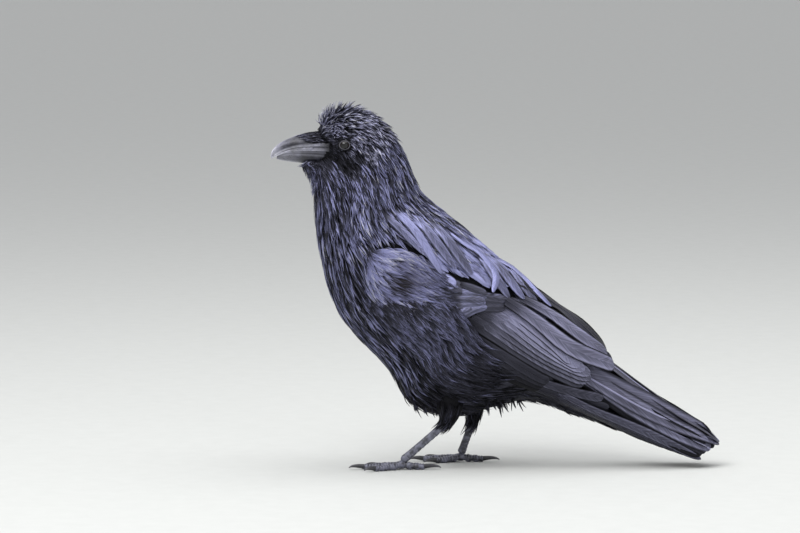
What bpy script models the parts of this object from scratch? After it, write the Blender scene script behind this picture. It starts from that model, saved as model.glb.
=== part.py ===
"""A common raven, life size, standing with its wings folded.

Frame: metres, +Z up. The bird faces -Y and its left side is +X. The origin is on the floor, under
the middle of the bird's length. Sizes are in millimetres and points of the side view are (y, z).

The body is one lofted form, parted into head, neck and trunk by thin gaps. The folded wings lie on
that form, each in three layers: coverts, secondaries with tertials, and primaries. Where two parts
meet, the one below is cut back by a slightly grown copy of the one above.
"""

import math

import bmesh
import bpy
from mathutils import Matrix, Vector

MM = 0.001
GAP = 0.35  # clear space between neighbouring parts
RING = 24  # points round the body

# Body stations from the bill's base to the tail's end: the back's point, the front or belly's
# point, and the half width between them.
BODY = [
    (-211, 376, -217, 340, 11),  # front of the nasal bristles
    (-198, 379, -211, 332, 15),  # base of the bill
    (-183, 398, -203, 318, 20.5),  # forehead and chin
    (-158, 402, -201, 302, 25.5),  # crown and beard
    (-127, 389, -201, 287, 32),  # back of the head
    (-101, 352, -199, 265, 42),  # nape
    (-80, 307, -195, 239, 54),  # base of the neck
    (-39, 272, -185, 198, 64),  # shoulders
    (3, 235, -164, 157, 68),  # broadest part of the chest
    (34, 208, -119, 110, 65),  # back and belly
    (53, 193, -95, 73, 60),  # belly in front of the legs
    (73, 177, -43, 59, 53),  # between the legs
    (105, 156, 29, 77, 42),  # rump, under the tertials
    (138, 115, 107, 56, 34),  # end of the secondaries
    (194, 71, 163, 27, 30),  # middle of the tail
    (249, 32, 227, 6, 25),  # end of the tail
]
HEAD_END = 4.3
NECK_END = 6.0
LAST_WHOLE_STATION = 10
# Behind the legs the trunk is only the rump and the covert feathers under the tail.
REAR = [
    (71, 164, -43, 59, 47),
    (99, 137, 29, 75, 32),
    (126, 99, 86, 60, 19),
    (152, 61, 148, 37, 6),
]
TRUNK = BODY[: LAST_WHOLE_STATION + 1] + REAR

# Bill stations from the gape to the tip: top, bottom and half width.
UPPER_BILL = [
    (-184, 376, -180, 354, 14.5),
    (-198, 375, -193, 356, 13.5),
    (-211, 373, -208, 356, 11),
    (-226, 369.5, -221, 355.5, 8.5),
    (-239, 363.5, -232, 353.5, 5.8),
    (-247, 356.5, -240, 351, 3.6),
    (-250.3, 350, -246.5, 348, 1.6),
    (-249.8, 345.8, -248.8, 345.5, 0.4),
]
LOWER_BILL = [
    (-180, 353.3, -183, 336.5, 13),
    (-195, 355.3, -199, 338.5, 12.2),
    (-210, 355, -214, 341, 10),
    (-223.5, 354.5, -228, 342.5, 7.5),
    (-234.7, 352.2, -239, 344, 4.8),
    (-243, 348.3, -244, 345.4, 1.6),
]
EYE = (-167.3, 362.5)
EYE_RADIUS = 6.6
EYE_INSET = 3.6  # the eye's centre, inside the side of the head

# Edges of the folded wing's layers in the side view, from the wrist to the tips.
COVERTS_TOP = [(-142, 248), (-123, 255), (-92, 249), (-55, 221), (-3, 197), (58, 181)]
COVERTS_BOTTOM = [(-143, 232), (-138, 196), (-106, 169), (-50, 164), (-14, 184), (57, 176)]
SECONDARIES_TOP = [(-44, 200), (6, 196), (60, 183), (96, 161), (122, 137), (133, 113)]
SECONDARIES_BOTTOM = [(-61, 174), (-36, 153), (-5, 131), (34, 106), (73, 90), (103, 85)]
PRIMARIES_TOP = [
    (-61, 178), (-34, 156), (-3, 134), (36, 109), (78, 93), (112, 79), (155, 58), (197, 37), (233, 13),
]
PRIMARIES_BOTTOM = [
    (-66, 160), (-43, 150), (-14, 126), (23, 100), (68, 80), (108, 60), (147, 38), (189, 20), (224, 6.5),
]
SECONDARY_COUNT = 7  # feathers that show
PRIMARY_COUNT = 5
COVERT_ROWS = 5
CUTTER_EDGE = 0.6  # how far a layer's cutter goes past its upper and lower edges
CUTTER_END = 0.01  # how far it goes past both ends, as a share of the layer's length
CUTTER_RISE = 10  # how far it stands out over the form
CUTTER_DEPTH = 0.9  # how much deeper than the layer it cuts, which also clears the facets' chords

# The tail is an arch round its ridge line, which falls from the rump to the tip.
RIDGE = [(73, 155), (120, 120), (166, 85), (206, 57), (237, 37), (251, 24)]
TAIL_HALF_WIDTH = (29, 26)  # at the rump and at the tip
TAIL_DROP = (28, 25)  # from the ridge to the outer feathers' edges
TAIL_HALF_ANGLE = math.radians(93)
TAIL_THICK = 4.0
TAIL_PAIRS = 6  # feathers on each side
TAIL_WEDGE = 0.15  # how much shorter the outermost feathers are
TAIL_STEP = 0.9  # how far each feather's outer edge stands over the next

TARSUS_LIFT = 9.5  # height of the joint between the shank and the toes
LEGS = {
    # thigh rings are (x, y, z, radius), and lean is the shank's direction in the side view
    "left": {
        "thigh": [(28, -46, 104, 19), (32, -49, 82, 17.5), (35, -51, 66, 13.5), (36, -55.4, 51.3, 6.8)],
        "lean": (-0.755, -0.656),
    },
    "right": {
        "thigh": [(-28, -14, 104, 19), (-32, -18, 80, 15), (-35, -21, 62, 10.5), (-36, -24.8, 42.7, 6.6)],
        "lean": (-0.34, -0.94),
    },
}
# Toes: heading from straight ahead towards the outside in degrees, length, radius, claw length.
TOES = {
    "middle": (2, 43, 4.3, 15),
    "inner": (-27, 32, 4.0, 13),
    "outer": (30, 35, 3.8, 12),
    "hind": (180, 25, 4.4, 17),
}
TOE_HEIGHT = 0.84  # of a toe's middle over the floor, as a share of its radius
SHANK_ACROSS = 3.6  # half widths of the bare shank
SHANK_ALONG = 4.4
SHANK_END = 7.5  # how far short of the toes' joint the shank stops
CLAW_RADIUS = 2.6

FEATHER = ("feather_black", (0.018, 0.018, 0.024), 0.42)
FLIGHT = ("flight_feather_black", (0.022, 0.021, 0.027), 0.36)
BILL = ("bill_horn", (0.03, 0.029, 0.033), 0.3)
SHANK = ("leg_scale", (0.035, 0.034, 0.037), 0.45)
CLAW = ("claw_horn", (0.02, 0.019, 0.02), 0.3)
EYEBALL = ("eye_brown", (0.02, 0.011, 0.006), 0.06)


# ---- general tools -----------------------------------------------------------------------


def read_curve(rows, u):
    """The smooth curve through equal rows of numbers, at u from 0 to the last row's index."""
    i = max(0, min(int(u), len(rows) - 2))
    f = u - i
    b, c = rows[i], rows[i + 1]
    a = rows[i - 1] if i > 0 else [2 * p - q for p, q in zip(b, c)]
    d = rows[i + 2] if i + 2 < len(rows) else [2 * q - p for p, q in zip(b, c)]
    return [
        q + 0.5 * f * (r - p + f * (2 * p - 5 * q + 4 * r - s + f * (3 * (q - r) + s - p)))
        for p, q, r, s in zip(a, b, c, d)
    ]


def spread(start, end, count):
    """count numbers from start to end, evenly spaced."""
    return [start + (end - start) * i / (count - 1) for i in range(count)]


def material(look):
    name, colour, roughness = look
    made = bpy.data.materials.get(name)
    if made is None:
        made = bpy.data.materials.new(name)
        made.use_nodes = True
        shader = made.node_tree.nodes["Principled BSDF"]
        shader.inputs["Base Color"].default_value = (*colour, 1)
        shader.inputs["Roughness"].default_value = roughness
        made.diffuse_color = (*colour, 1)
    return made


def solid(name, points, faces, look):
    """A closed mesh object from points in millimetres. With no look it is a cutter."""
    mesh = bpy.data.meshes.new(name)
    mesh.from_pydata([Vector(p) * MM for p in points], [], faces)
    shape = bmesh.new()
    shape.from_mesh(mesh)
    bmesh.ops.recalc_face_normals(shape, faces=shape.faces)
    shape.to_mesh(mesh)
    shape.free()
    mesh.shade_smooth()
    mesh.set_sharp_from_angle(angle=math.radians(40))
    made = bpy.data.objects.new(name, mesh)
    bpy.context.scene.collection.objects.link(made)
    if look is None:
        made.hide_render = True
        made.display_type = "WIRE"
    else:
        mesh.materials.append(material(look))
    return made


def loft(name, rings, look):
    """A closed tube through rings of equally many points, with flat ends."""
    count = len(rings[0])
    points = [p for ring in rings for p in ring]
    faces = [
        (i * count + j, i * count + (j + 1) % count, (i + 1) * count + (j + 1) % count, (i + 1) * count + j)
        for i in range(len(rings) - 1)
        for j in range(count)
    ]
    faces += [tuple(range(count)), tuple(range(len(points) - count, len(points)))]
    return solid(name, points, faces, look)


def plate(name, outer, inner, look):
    """A closed plate between two grids of points of the same size."""
    rows, columns = len(outer), len(outer[0])
    points = [p for grid in (outer, inner) for row in grid for p in row]

    def at(layer, i, j):
        return (layer * rows + i) * columns + j

    faces = [
        (at(k, i, j), at(k, i, j + 1), at(k, i + 1, j + 1), at(k, i + 1, j))
        for k in (0, 1)
        for i in range(rows - 1)
        for j in range(columns - 1)
    ]
    edge = [(0, j) for j in range(columns)] + [(i, columns - 1) for i in range(1, rows)]
    edge += [(rows - 1, j) for j in range(columns - 2, -1, -1)] + [(i, 0) for i in range(rows - 2, 0, -1)]
    for (i, j), (k, m) in zip(edge, edge[1:] + edge[:1]):
        faces.append((at(0, i, j), at(0, k, m), at(1, k, m), at(1, i, j)))
    return solid(name, points, faces, look)


def combine(target, other, operation, solver="EXACT"):
    step = target.modifiers.new(f"{operation.lower()} {other.name}", "BOOLEAN")
    step.operation = operation
    step.solver = solver
    step.object = other


# ---- the body's form ---------------------------------------------------------------------


def form_point(u, angle, stations=BODY):
    """A point of the body's form: angle 0 is the back, and 90 degrees the left side."""
    back_y, back_z, front_y, front_z, half_width = read_curve(stations, u)
    y = (back_y + front_y) / 2 + (back_y - front_y) / 2 * math.cos(angle)
    z = (back_z + front_z) / 2 + (back_z - front_z) / 2 * math.cos(angle)
    return Vector((half_width * math.sin(angle), y, z))


def form_place(y, z, first=5.5, last=15.0):
    """Where the form's left side shows a side-view point: the station and the angle."""

    def behind(u):
        back_y, back_z, front_y, front_z, _ = read_curve(BODY, u)
        return (back_y - front_y) * (z - front_z) - (back_z - front_z) * (y - front_y) < 0

    low, high = first, last
    for _ in range(40):
        middle = (low + high) / 2
        low, high = (middle, high) if behind(middle) else (low, middle)
    back_y, back_z, front_y, front_z, _ = read_curve(BODY, low)
    depth = Vector((back_y - front_y, back_z - front_z))
    off = Vector((y - (back_y + front_y) / 2, z - (back_z + front_z) / 2))
    share = max(-0.995, min(0.995, 2 * off.dot(depth) / depth.length_squared))
    return low, math.acos(share)


def on_form(y, z, lift, side):
    """The point at height lift over the form, seen from the side at (y, z)."""
    u, angle = form_place(y, z)
    here = form_point(u, angle)
    ahead = form_point(min(u + 0.05, len(BODY) - 1), angle) - form_point(u - 0.05, angle)
    around = form_point(u, angle + 0.02) - form_point(u, angle - 0.02)
    out = ahead.cross(around).normalized()
    if out.x < 0:
        out.negate()
    placed = Vector((here.x, y, z)) + out * lift
    return Vector((placed.x * side, placed.y, placed.z))


def body_part(name, stations, first, last, count, look):
    """The body between two stations. Each cut end gives up half of the gap."""
    rings = []
    for u in spread(first, last, count):
        rings.append([form_point(u, 2 * math.pi * j / RING, stations) for j in range(RING)])
    for end, inner in ((0, 1), (-1, -2)):
        a, b, c = (rings[end][j] for j in (0, RING // 3, 2 * RING // 3))
        normal = (b - a).cross(c - a).normalized()
        if normal.dot(rings[inner][0] - rings[end][0]) < 0:
            normal.negate()
        rings[end] = [p + normal * GAP / 2 for p in rings[end]]
    return loft(name, rings, look)


def bill_half(name, stations, rounded_top, grow, look, rows=8, points=9):
    """One mandible: a rounded ridge and a flat biting side. grow makes it fatter all round."""
    rings = []
    for u in spread(0, len(stations) - 1, rows):
        top_y, top_z, bottom_y, bottom_z, half_width = read_curve(stations, u)
        top, bottom = Vector((0, top_y, top_z)), Vector((0, bottom_y, bottom_z))
        ridge, flat = (top, bottom) if rounded_top else (bottom, top)
        rise = (ridge - flat).normalized()
        flat = flat - rise * grow
        ridge = ridge + rise * grow
        ring = []
        for angle in spread(-math.pi / 2, math.pi / 2, points):
            out = Vector(((half_width + grow) * math.sin(angle), 0, 0))
            ring.append(flat + (ridge - flat) * max(0, math.cos(angle)) ** 0.8 + out)
        rings.append(ring)
    return loft(name, rings, look)


def ball(name, centre, radius, look, segments=12, rings=7):
    """A sphere with its poles to the sides. With no look it is a cutter."""
    mesh = bpy.data.meshes.new(name)
    shape = bmesh.new()
    turned = Matrix.Rotation(math.pi / 2, 4, "Y")
    bmesh.ops.create_uvsphere(
        shape, u_segments=segments, v_segments=rings, radius=radius * MM, matrix=turned
    )
    shape.to_mesh(mesh)
    shape.free()
    mesh.shade_smooth()
    made = bpy.data.objects.new(name, mesh)
    made.location = Vector(centre) * MM
    bpy.context.scene.collection.objects.link(made)
    if look is None:
        made.hide_render = True
        made.display_type = "WIRE"
    else:
        mesh.materials.append(material(look))
    return made


# ---- wings and tail ----------------------------------------------------------------------


def feather_columns(count, rise, edge=0.04):
    """Where a layer's columns lie across it, how far each is raised and whether its tip is drawn
    back. Each feather's lower edge stands over the next feather."""
    columns = []
    for k in range(count):
        columns += [((k + edge) / count, 0, 1), ((k + 1 - edge) / count, rise, 0)]
    return columns


def wing_layer(name, side, edges, columns, rows, depth, drawn, look, grow=False):
    """A layer of the folded wing between its top and bottom edges. grow makes its cutter."""
    top, bottom = edges
    shares = spread(0, 1, rows)
    if grow:
        columns = [(t, CUTTER_RISE, 0) for t in spread(0, 1, len(columns) // 2 + 1)]
        shares = [-CUTTER_END, *shares[1:-1], 1 + CUTTER_END]
    outer, inner = [], []
    for share in shares:
        outer.append([])
        inner.append([])
        for t, rise, pull in columns:
            s = share * (1 - drawn * pull * share**8)
            a = read_curve(top, s * (len(top) - 1))
            b = read_curve(bottom, s * (len(bottom) - 1))
            past = (2 * t - 1) * (CUTTER_EDGE if grow else 0) / math.dist(a, b)
            y, z = (p + (q - p) * (t + past) for p, q in zip(a, b))
            outer[-1].append(on_form(y, z, rise, side))
            inner[-1].append(on_form(y, z, -depth - (CUTTER_DEPTH if grow else 0), side))
    return plate(name, outer, inner, look)


def tail(name, grow, look, rows=6):
    """The closed tail: an arch of overlapping feathers, the middle pair on top."""
    (start_y, start_z), (end_y, end_z) = RIDGE[0], RIDGE[-1]
    (start_width, end_width), (start_drop, end_drop) = TAIL_HALF_WIDTH, TAIL_DROP
    down = Vector((0, end_z - start_z, start_y - end_y)).normalized()
    if grow:
        half = [(t, TAIL_STEP + 0.2) for t in spread(0.04, 1, TAIL_PAIRS + 1)]
    else:
        half = []
        for k in range(TAIL_PAIRS):
            half += [((k + 0.03) / TAIL_PAIRS, TAIL_STEP), ((k + 0.97) / TAIL_PAIRS, TAIL_STEP / 2)]
    columns = [(-t, lift) for t, lift in reversed(half)] + half
    shares = spread(0, 1, rows)
    if grow:
        shares[0] = -0.01
    outer, inner = [], []
    for share in shares:
        outer.append([])
        inner.append([])
        for t, lift in columns:
            s = share * (1 - TAIL_WEDGE * abs(t) ** 1.3)
            angle = t * TAIL_HALF_ANGLE * (1.02 if grow else 1)
            half_width = start_width + (end_width - start_width) * s
            drop = start_drop + (end_drop - start_drop) * s
            base = Vector((0, *read_curve(RIDGE, s * (len(RIDGE) - 1))))
            for grid, depth in ((outer, -lift - grow), (inner, TAIL_THICK + 2 * grow)):
                across = Vector(((half_width - depth) * math.sin(angle), 0, 0))
                grid[-1].append(base + across + down * (drop - (drop - depth) * math.cos(angle)))
    return plate(name, outer, inner, look)


# ---- legs and feet -----------------------------------------------------------------------


def disc(centre, axis, radius, points, squash=1.0):
    """A ring of points round centre, at right angles to axis, with a flat side down; squash
    narrows it across."""
    axis = axis.normalized()
    side = axis.cross(Vector((0, 0, 1)) if abs(axis.z) < 0.9 else Vector((0, 1, 0))).normalized()
    over = side.cross(axis)
    ring = []
    for j in range(points):
        angle = 2 * math.pi * (j + 0.5) / points
        ring.append(centre + side * radius * squash * math.cos(angle) + over * radius * math.sin(angle))
    return ring


def thigh(name, rings, lean, look):
    """The feathered upper leg, from inside the belly down to the shank."""
    axis = Vector((0, *lean))
    made = []
    for u in spread(0, len(rings) - 1, 8):
        x, y, z, radius = read_curve(rings, u)
        way = Vector((0, 0, -1)).lerp(axis, (u / (len(rings) - 1)) ** 2).normalized()
        circle = []
        for j in range(18):
            angle = 2 * math.pi * j / 18
            across = Vector((1, 0, 0))
            along = across.cross(way).normalized()
            out = across * 0.9 * math.cos(angle) + along * math.sin(angle)
            circle.append(Vector((x, y, z)) + out * radius)
        made.append(circle)
    return loft(name, made, look)


def shank(name, ankle, joint, look):
    """The bare tarsus: thicker at both joints, and deeper from front to back than across."""
    axis = (joint - ankle).normalized()
    start, end = ankle + axis * GAP, joint - axis * SHANK_END
    across = Vector((1, 0, 0))
    along = across.cross(axis).normalized()
    rings = []
    for share in spread(0, 1, 8):
        swell = 1 + 0.22 * (2 * share - 1) ** 4
        centre = start.lerp(end, share)
        ring = []
        for j in range(12):
            angle = 2 * math.pi * j / 12
            out = across * SHANK_ACROSS * math.cos(angle) + along * SHANK_ALONG * math.sin(angle)
            ring.append(centre + out * swell)
        rings.append(ring)
    return loft(name, rings, look)


def floored(ring):
    """The ring with nothing of it under the floor."""
    return [Vector((p.x, p.y, max(0.0, p.z))) for p in ring]


def toe_heading(side, degrees):
    """A toe's direction on the floor; 0 degrees is straight ahead."""
    turn = math.radians(degrees)
    return Vector((side * math.sin(turn), -math.cos(turn), 0))


def toe(name, joint, heading, length, radius, look):
    """A toe with its pads, flat where it stands on the floor."""
    rings = [disc(Vector((joint.x, joint.y, 7)), heading, 3.4, 8)]
    for share in spread(0.3, 1, 6):
        thick = radius * (1 - 0.16 * share) * (1 + 0.07 * math.cos(share * 6 * math.pi))
        centre = Vector((joint.x, joint.y, 0)) + heading * length * share
        centre.z = thick * TOE_HEIGHT
        rings.append(floored(disc(centre, heading, thick, 8)))
    last = rings[-1]
    middle = sum(last, Vector()) / len(last)
    tip = [middle + (p - middle) * 0.66 + heading * 1.6 for p in last]
    rings.append(floored(tip))
    return loft(name, rings, look)


def claw(name, joint, heading, length, radius, reach, look):
    """A claw that rises a little from its toe and curves down to a point above the floor."""
    base = Vector((joint.x, joint.y, 0)) + heading * (length + 1.6 + GAP)
    rings = []
    for share in spread(0, 1, 5):
        centre = base + heading * reach * math.sin(share * 1.35) / math.sin(1.35)
        centre.z = radius * TOE_HEIGHT + 1.6 * math.sin(share * math.pi * 0.8) - 2.6 * share**2
        way = heading + Vector((0, 0, 0.5 - 1.6 * share))
        thick = CLAW_RADIUS * (1 - share) ** 0.8 + 0.25
        rings.append(disc(centre, heading if share == 0 else way, thick, 8, 0.8))
    return loft(name, [floored(r) for r in rings], look)


def leg(label, side, spec, trunk_cutter):
    """One leg: the thigh, the bare shank, the foot with its four toes, and their claws."""
    ankle = Vector(spec["thigh"][-1][:3])
    lean = Vector((0, *spec["lean"]))
    joint = ankle + lean * (ankle.z - TARSUS_LIFT) / abs(lean.z)
    upper = thigh(f"thigh_{label}", spec["thigh"], spec["lean"], FEATHER)
    combine(upper, trunk_cutter, "DIFFERENCE")
    shank(f"shank_{label}", ankle, joint, SHANK)
    sizes = ((-1, 4.2), (4, 4.8), (SHANK_END - GAP, 4.5))
    stub = [disc(joint - lean * reach, lean, size, 9) for reach, size in sizes]
    foot = loft(f"foot_{label}", stub, SHANK)
    for toe_name, (degrees, length, radius, reach) in TOES.items():
        heading = toe_heading(side, degrees)
        member = toe(f"toe_{toe_name}_{label}", joint, heading, length, radius, None)
        combine(foot, member, "UNION")
        claw(f"claw_{toe_name}_{label}", joint, heading, length, radius, reach, CLAW)


# ---- the whole bird ----------------------------------------------------------------------


def trunk_form(name, grow, look):
    """The trunk; a grown copy of it cuts the thighs."""
    if not grow:
        return body_part(name, TRUNK, NECK_END, len(TRUNK) - 1, 14, look)
    rings = []
    for u in spread(NECK_END, len(TRUNK) - 1, 14):
        centre = (form_point(u, 0, TRUNK) + form_point(u, math.pi, TRUNK)) / 2
        ring = []
        for j in range(RING):
            p = form_point(u, 2 * math.pi * j / RING, TRUNK)
            ring.append(p + (p - centre).normalized() * grow)
        rings.append(ring)
    return loft(name, rings, look)


def wings(trunk, tail_feathers):
    """Both folded wings. Each layer is cut back by those over it, and the trunk and tail by all."""
    layers = {
        # its edges, feathers, how high their edges stand, rows, depth, and how far tips are drawn back
        "coverts": ((COVERTS_TOP, COVERTS_BOTTOM), COVERT_ROWS, 0.9, 9, 6.0, 0.04),
        "secondaries": ((SECONDARIES_TOP, SECONDARIES_BOTTOM), SECONDARY_COUNT, 0.9, 8, 4.2, 0.04),
        "primaries": ((PRIMARIES_TOP, PRIMARIES_BOTTOM), PRIMARY_COUNT, 0.6, 11, 3.6, 0.05),
    }
    for label, side in (("left", 1), ("right", -1)):
        above = []
        for layer, (edges, count, rise, rows, depth, drawn) in layers.items():
            look = FEATHER if layer == "coverts" else FLIGHT
            columns = feather_columns(count, rise)
            piece = wing_layer(f"wing_{layer}_{label}", side, edges, columns, rows, depth, drawn, look)
            for cutter in above:
                combine(piece, cutter, "DIFFERENCE")
            name = f"cut_{layer}_{label}"
            above.append(wing_layer(name, side, edges, columns, rows, depth, drawn, None, True))
        for cutter in above:
            combine(trunk, cutter, "DIFFERENCE", "MANIFOLD")
        for cutter in above[1:]:
            combine(tail_feathers, cutter, "DIFFERENCE")


def head_and_bill():
    """Head, neck, both halves of the bill and the eyes, each cut clear of its neighbours."""
    head = body_part("head", BODY, 0, HEAD_END, 10, FEATHER)
    body_part("neck", BODY, HEAD_END, NECK_END, 6, FEATHER)
    lower = bill_half("bill_lower", LOWER_BILL, False, 0, BILL)
    bill_half("bill_upper", UPPER_BILL, True, 0, BILL)
    upper_cutter = bill_half("cut_bill_upper", UPPER_BILL, True, GAP, None)
    lower_cutter = bill_half("cut_bill_lower", LOWER_BILL, False, GAP, None)
    combine(lower, upper_cutter, "DIFFERENCE")
    combine(head, upper_cutter, "DIFFERENCE")
    combine(head, lower_cutter, "DIFFERENCE")
    u, angle = form_place(*EYE, 2.0, 5.0)
    out = form_point(u, angle).x - EYE_INSET
    for label, side in (("left", 1), ("right", -1)):
        centre = (out * side, *EYE)
        ball(f"eye_{label}", centre, EYE_RADIUS, EYEBALL)
        combine(head, ball(f"cut_eye_{label}", centre, EYE_RADIUS + GAP, None), "DIFFERENCE")


def main():
    for old in list(bpy.data.objects):
        bpy.data.objects.remove(old)
    head_and_bill()
    trunk = trunk_form("trunk", 0, FEATHER)
    trunk_cutter = trunk_form("cut_trunk", GAP, None)
    tail_feathers = tail("tail", 0, FLIGHT)
    wings(trunk, tail_feathers)
    combine(trunk, tail("cut_tail", GAP, None), "DIFFERENCE", "MANIFOLD")
    for label, side in (("left", 1), ("right", -1)):
        leg(label, side, LEGS[label], trunk_cutter)


main()
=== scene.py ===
"""The looks of a common raven, a still life-size model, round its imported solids.

Frame: metres, +Z up. The bird faces -Y and its left side is +X. The tables are in millimetres and
repeat the named forms of the solids. One skin lies inside the flesh. The coat grows on smooth
surfaces read at (s, t): s runs with the lie of the feathers, t across it. Each feather is a closed
blade of its own, and each tract of feathers is one joined mesh.
"""

import math

import bmesh
import bpy
import numpy as np
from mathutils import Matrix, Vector
from mathutils.kdtree import KDTree


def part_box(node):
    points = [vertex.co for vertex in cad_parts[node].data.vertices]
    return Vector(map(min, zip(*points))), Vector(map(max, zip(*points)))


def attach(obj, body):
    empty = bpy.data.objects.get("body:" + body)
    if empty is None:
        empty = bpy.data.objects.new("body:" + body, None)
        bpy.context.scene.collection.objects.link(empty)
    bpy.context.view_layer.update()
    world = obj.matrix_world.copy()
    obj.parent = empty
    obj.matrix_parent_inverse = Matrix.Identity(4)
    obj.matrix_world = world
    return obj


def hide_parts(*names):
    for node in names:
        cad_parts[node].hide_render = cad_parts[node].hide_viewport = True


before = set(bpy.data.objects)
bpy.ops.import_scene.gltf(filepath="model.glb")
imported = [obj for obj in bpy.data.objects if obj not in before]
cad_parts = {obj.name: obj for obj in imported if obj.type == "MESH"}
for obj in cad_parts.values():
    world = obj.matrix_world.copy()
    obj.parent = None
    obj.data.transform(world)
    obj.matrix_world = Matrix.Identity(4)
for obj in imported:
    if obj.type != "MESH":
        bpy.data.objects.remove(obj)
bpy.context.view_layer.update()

MM = 0.001
COAT_DEPTH = 3.6  # of the skin under the outline, before it is smoothed
SKIN_VOXEL = 2.4
SKIN_FRONT = -203  # the skin ends flat here, inside the bill
PATCH = 0.003  # of a feather on the baking map
NAPE_STATION = 5.5
HALVINGS = 26  # steps in finding the station of a side-view point
SAMPLES = 200  # points at which a surface is measured, to space feathers on it
RAGGED = 0.45  # how far feathers stray in their rows, as a share of the distance between them

# Stations of the body: the back's (y, z), the front or belly's (y, z), and the half width.
BODY = [
    (-211, 376, -217, 340, 11),  # front of the nasal bristles
    (-198, 379, -211, 332, 15),  # base of the bill
    (-183, 398, -203, 318, 20.5),  # forehead and chin
    (-158, 402, -201, 302, 25.5),  # crown and beard
    (-127, 389, -201, 287, 32),  # back of the head
    (-101, 352, -199, 265, 42),  # nape
    (-80, 307, -195, 239, 54),  # base of the neck
    (-39, 272, -185, 198, 64),  # shoulders
    (3, 235, -164, 157, 68),  # broadest part of the chest
    (34, 208, -119, 110, 65),  # back and belly
    (53, 193, -95, 73, 60),  # belly in front of the legs
    (73, 177, -43, 59, 53),  # between the legs
    (105, 156, 29, 77, 42),  # rump, under the tertials
    (138, 115, 107, 56, 34),  # end of the secondaries
    (194, 71, 163, 27, 30),  # middle of the tail
    (249, 32, 227, 6, 25),  # end of the tail
]
REAR = [
    (71, 164, -43, 59, 47),
    (99, 137, 29, 75, 32),
    (126, 99, 86, 60, 19),
    (152, 61, 148, 37, 6),
]
TRUNK = BODY[:11] + REAR

UPPER_BILL = [
    (-184, 376, -180, 354, 14.5),
    (-198, 375, -193, 356, 13.5),
    (-211, 373, -208, 356, 11),
    (-226, 369.5, -221, 355.5, 8.5),
    (-239, 363.5, -232, 353.5, 5.8),
    (-247, 356.5, -240, 351, 3.6),
    (-250.3, 350, -246.5, 348, 1.6),
    (-249.8, 345.8, -248.8, 345.5, 0.4),
]
LOWER_BILL = [
    (-180, 353.3, -183, 336.5, 13),
    (-195, 355.3, -199, 338.5, 12.2),
    (-210, 355, -214, 341, 10),
    (-223.5, 354.5, -228, 342.5, 7.5),
    (-234.7, 352.2, -239, 344, 4.8),
    (-243, 348.3, -244, 345.4, 1.6),
]
EYE = (-167.3, 362.5)
EYE_RADIUS = 6.6

RIDGE = [(73, 155), (120, 120), (166, 85), (206, 57), (237, 37), (251, 24)]
TAIL_HALF_WIDTH = (29, 26)
TAIL_DROP = (28, 25)
TAIL_HALF_ANGLE = math.radians(93)

TARSUS_LIFT = 9.5
THIGHS = {
    "left": [(28, -46, 104, 19), (32, -49, 82, 17.5), (35, -51, 66, 13.5), (36, -55.4, 51.3, 6.8)],
    "right": [(-28, -14, 104, 19), (-32, -18, 80, 15), (-35, -21, 62, 10.5), (-36, -24.8, 42.7, 6.6)],
}
LEANS = {"left": (-0.755, -0.656), "right": (-0.34, -0.94)}
# Toes: heading from straight ahead towards the outside in degrees, length, radius, claw length.
TOES = {
    "middle": (2, 43, 4.3, 15),
    "inner": (-27, 32, 4.0, 13),
    "outer": (30, 35, 3.8, 12),
    "hind": (180, 25, 4.4, 17),
}
TOE_HEIGHT = 0.84
SIDES = {"left": 1, "right": -1}


# ---- arrays and curves ----


def read_curve(rows, u):
    """The smooth curve through rows of numbers, read at u from 0 to the last row's index."""
    rows = np.asarray(rows, float)
    u = np.asarray(u, float)
    i = np.clip(np.floor(u).astype(int), 0, len(rows) - 2)
    f = (u - i)[..., None]
    ends = np.concatenate([[2 * rows[0] - rows[1]], rows, [2 * rows[-1] - rows[-2]]])
    p, q, r, s = (ends[i + k] for k in range(4))
    return q + 0.5 * f * (r - p + f * (2 * p - 5 * q + 4 * r - s + f * (3 * (q - r) + s - p)))


def curve_columns(rows, u):
    """The smooth curve through rows of numbers, as one array for each column."""
    return np.moveaxis(read_curve(rows, u), -1, 0)


def spread_over(value, count):
    """One value for each of count feathers, from a number or an array of them."""
    return np.broadcast_to(np.asarray(value, float), (count,))


def distance_along(points):
    """How far each point is from the first, along the line through them."""
    return np.concatenate([[0], np.cumsum(np.linalg.norm(np.diff(points, axis=0), axis=1))])


def unit(v):
    return v / np.maximum(np.linalg.norm(v, axis=-1, keepdims=True), 1e-12)


def step_between(x, low, high):
    """0 up to low, 1 from high on, and smooth between them."""
    share = np.clip((np.asarray(x, float) - low) / (high - low), 0, 1)
    return share * share * (3 - 2 * share)


def ripple(points, size, seed):
    """Smooth noise between -1 and 1 at points in metres, with waves of about size millimetres."""
    chance = np.random.default_rng(seed)
    total = np.zeros(np.shape(points)[:-1])
    for _ in range(6):
        wave = unit(chance.normal(size=3)) * 2 * math.pi / (size * MM * chance.uniform(0.7, 1.6))
        total += np.sin(points @ wave + chance.uniform(0, 2 * math.pi))
    return total / 3.5


# ---- surfaces that feathers grow on ----


def body_place(stations):
    """A function for the form's points: s runs from bill to tail, t round it from the belly's
    line over the left side, the back and the right side."""

    def place(s, t):
        back_y, back_z, front_y, front_z, half = curve_columns(stations, s * (len(stations) - 1))
        angle = (0.5 - t) * 2 * math.pi
        lean = np.cos(angle)
        y = (back_y + front_y) / 2 + (back_y - front_y) / 2 * lean
        z = (back_z + front_z) / 2 + (back_z - front_z) / 2 * lean
        return np.stack([half * np.sin(angle), y, z], -1) * MM

    return place


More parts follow.
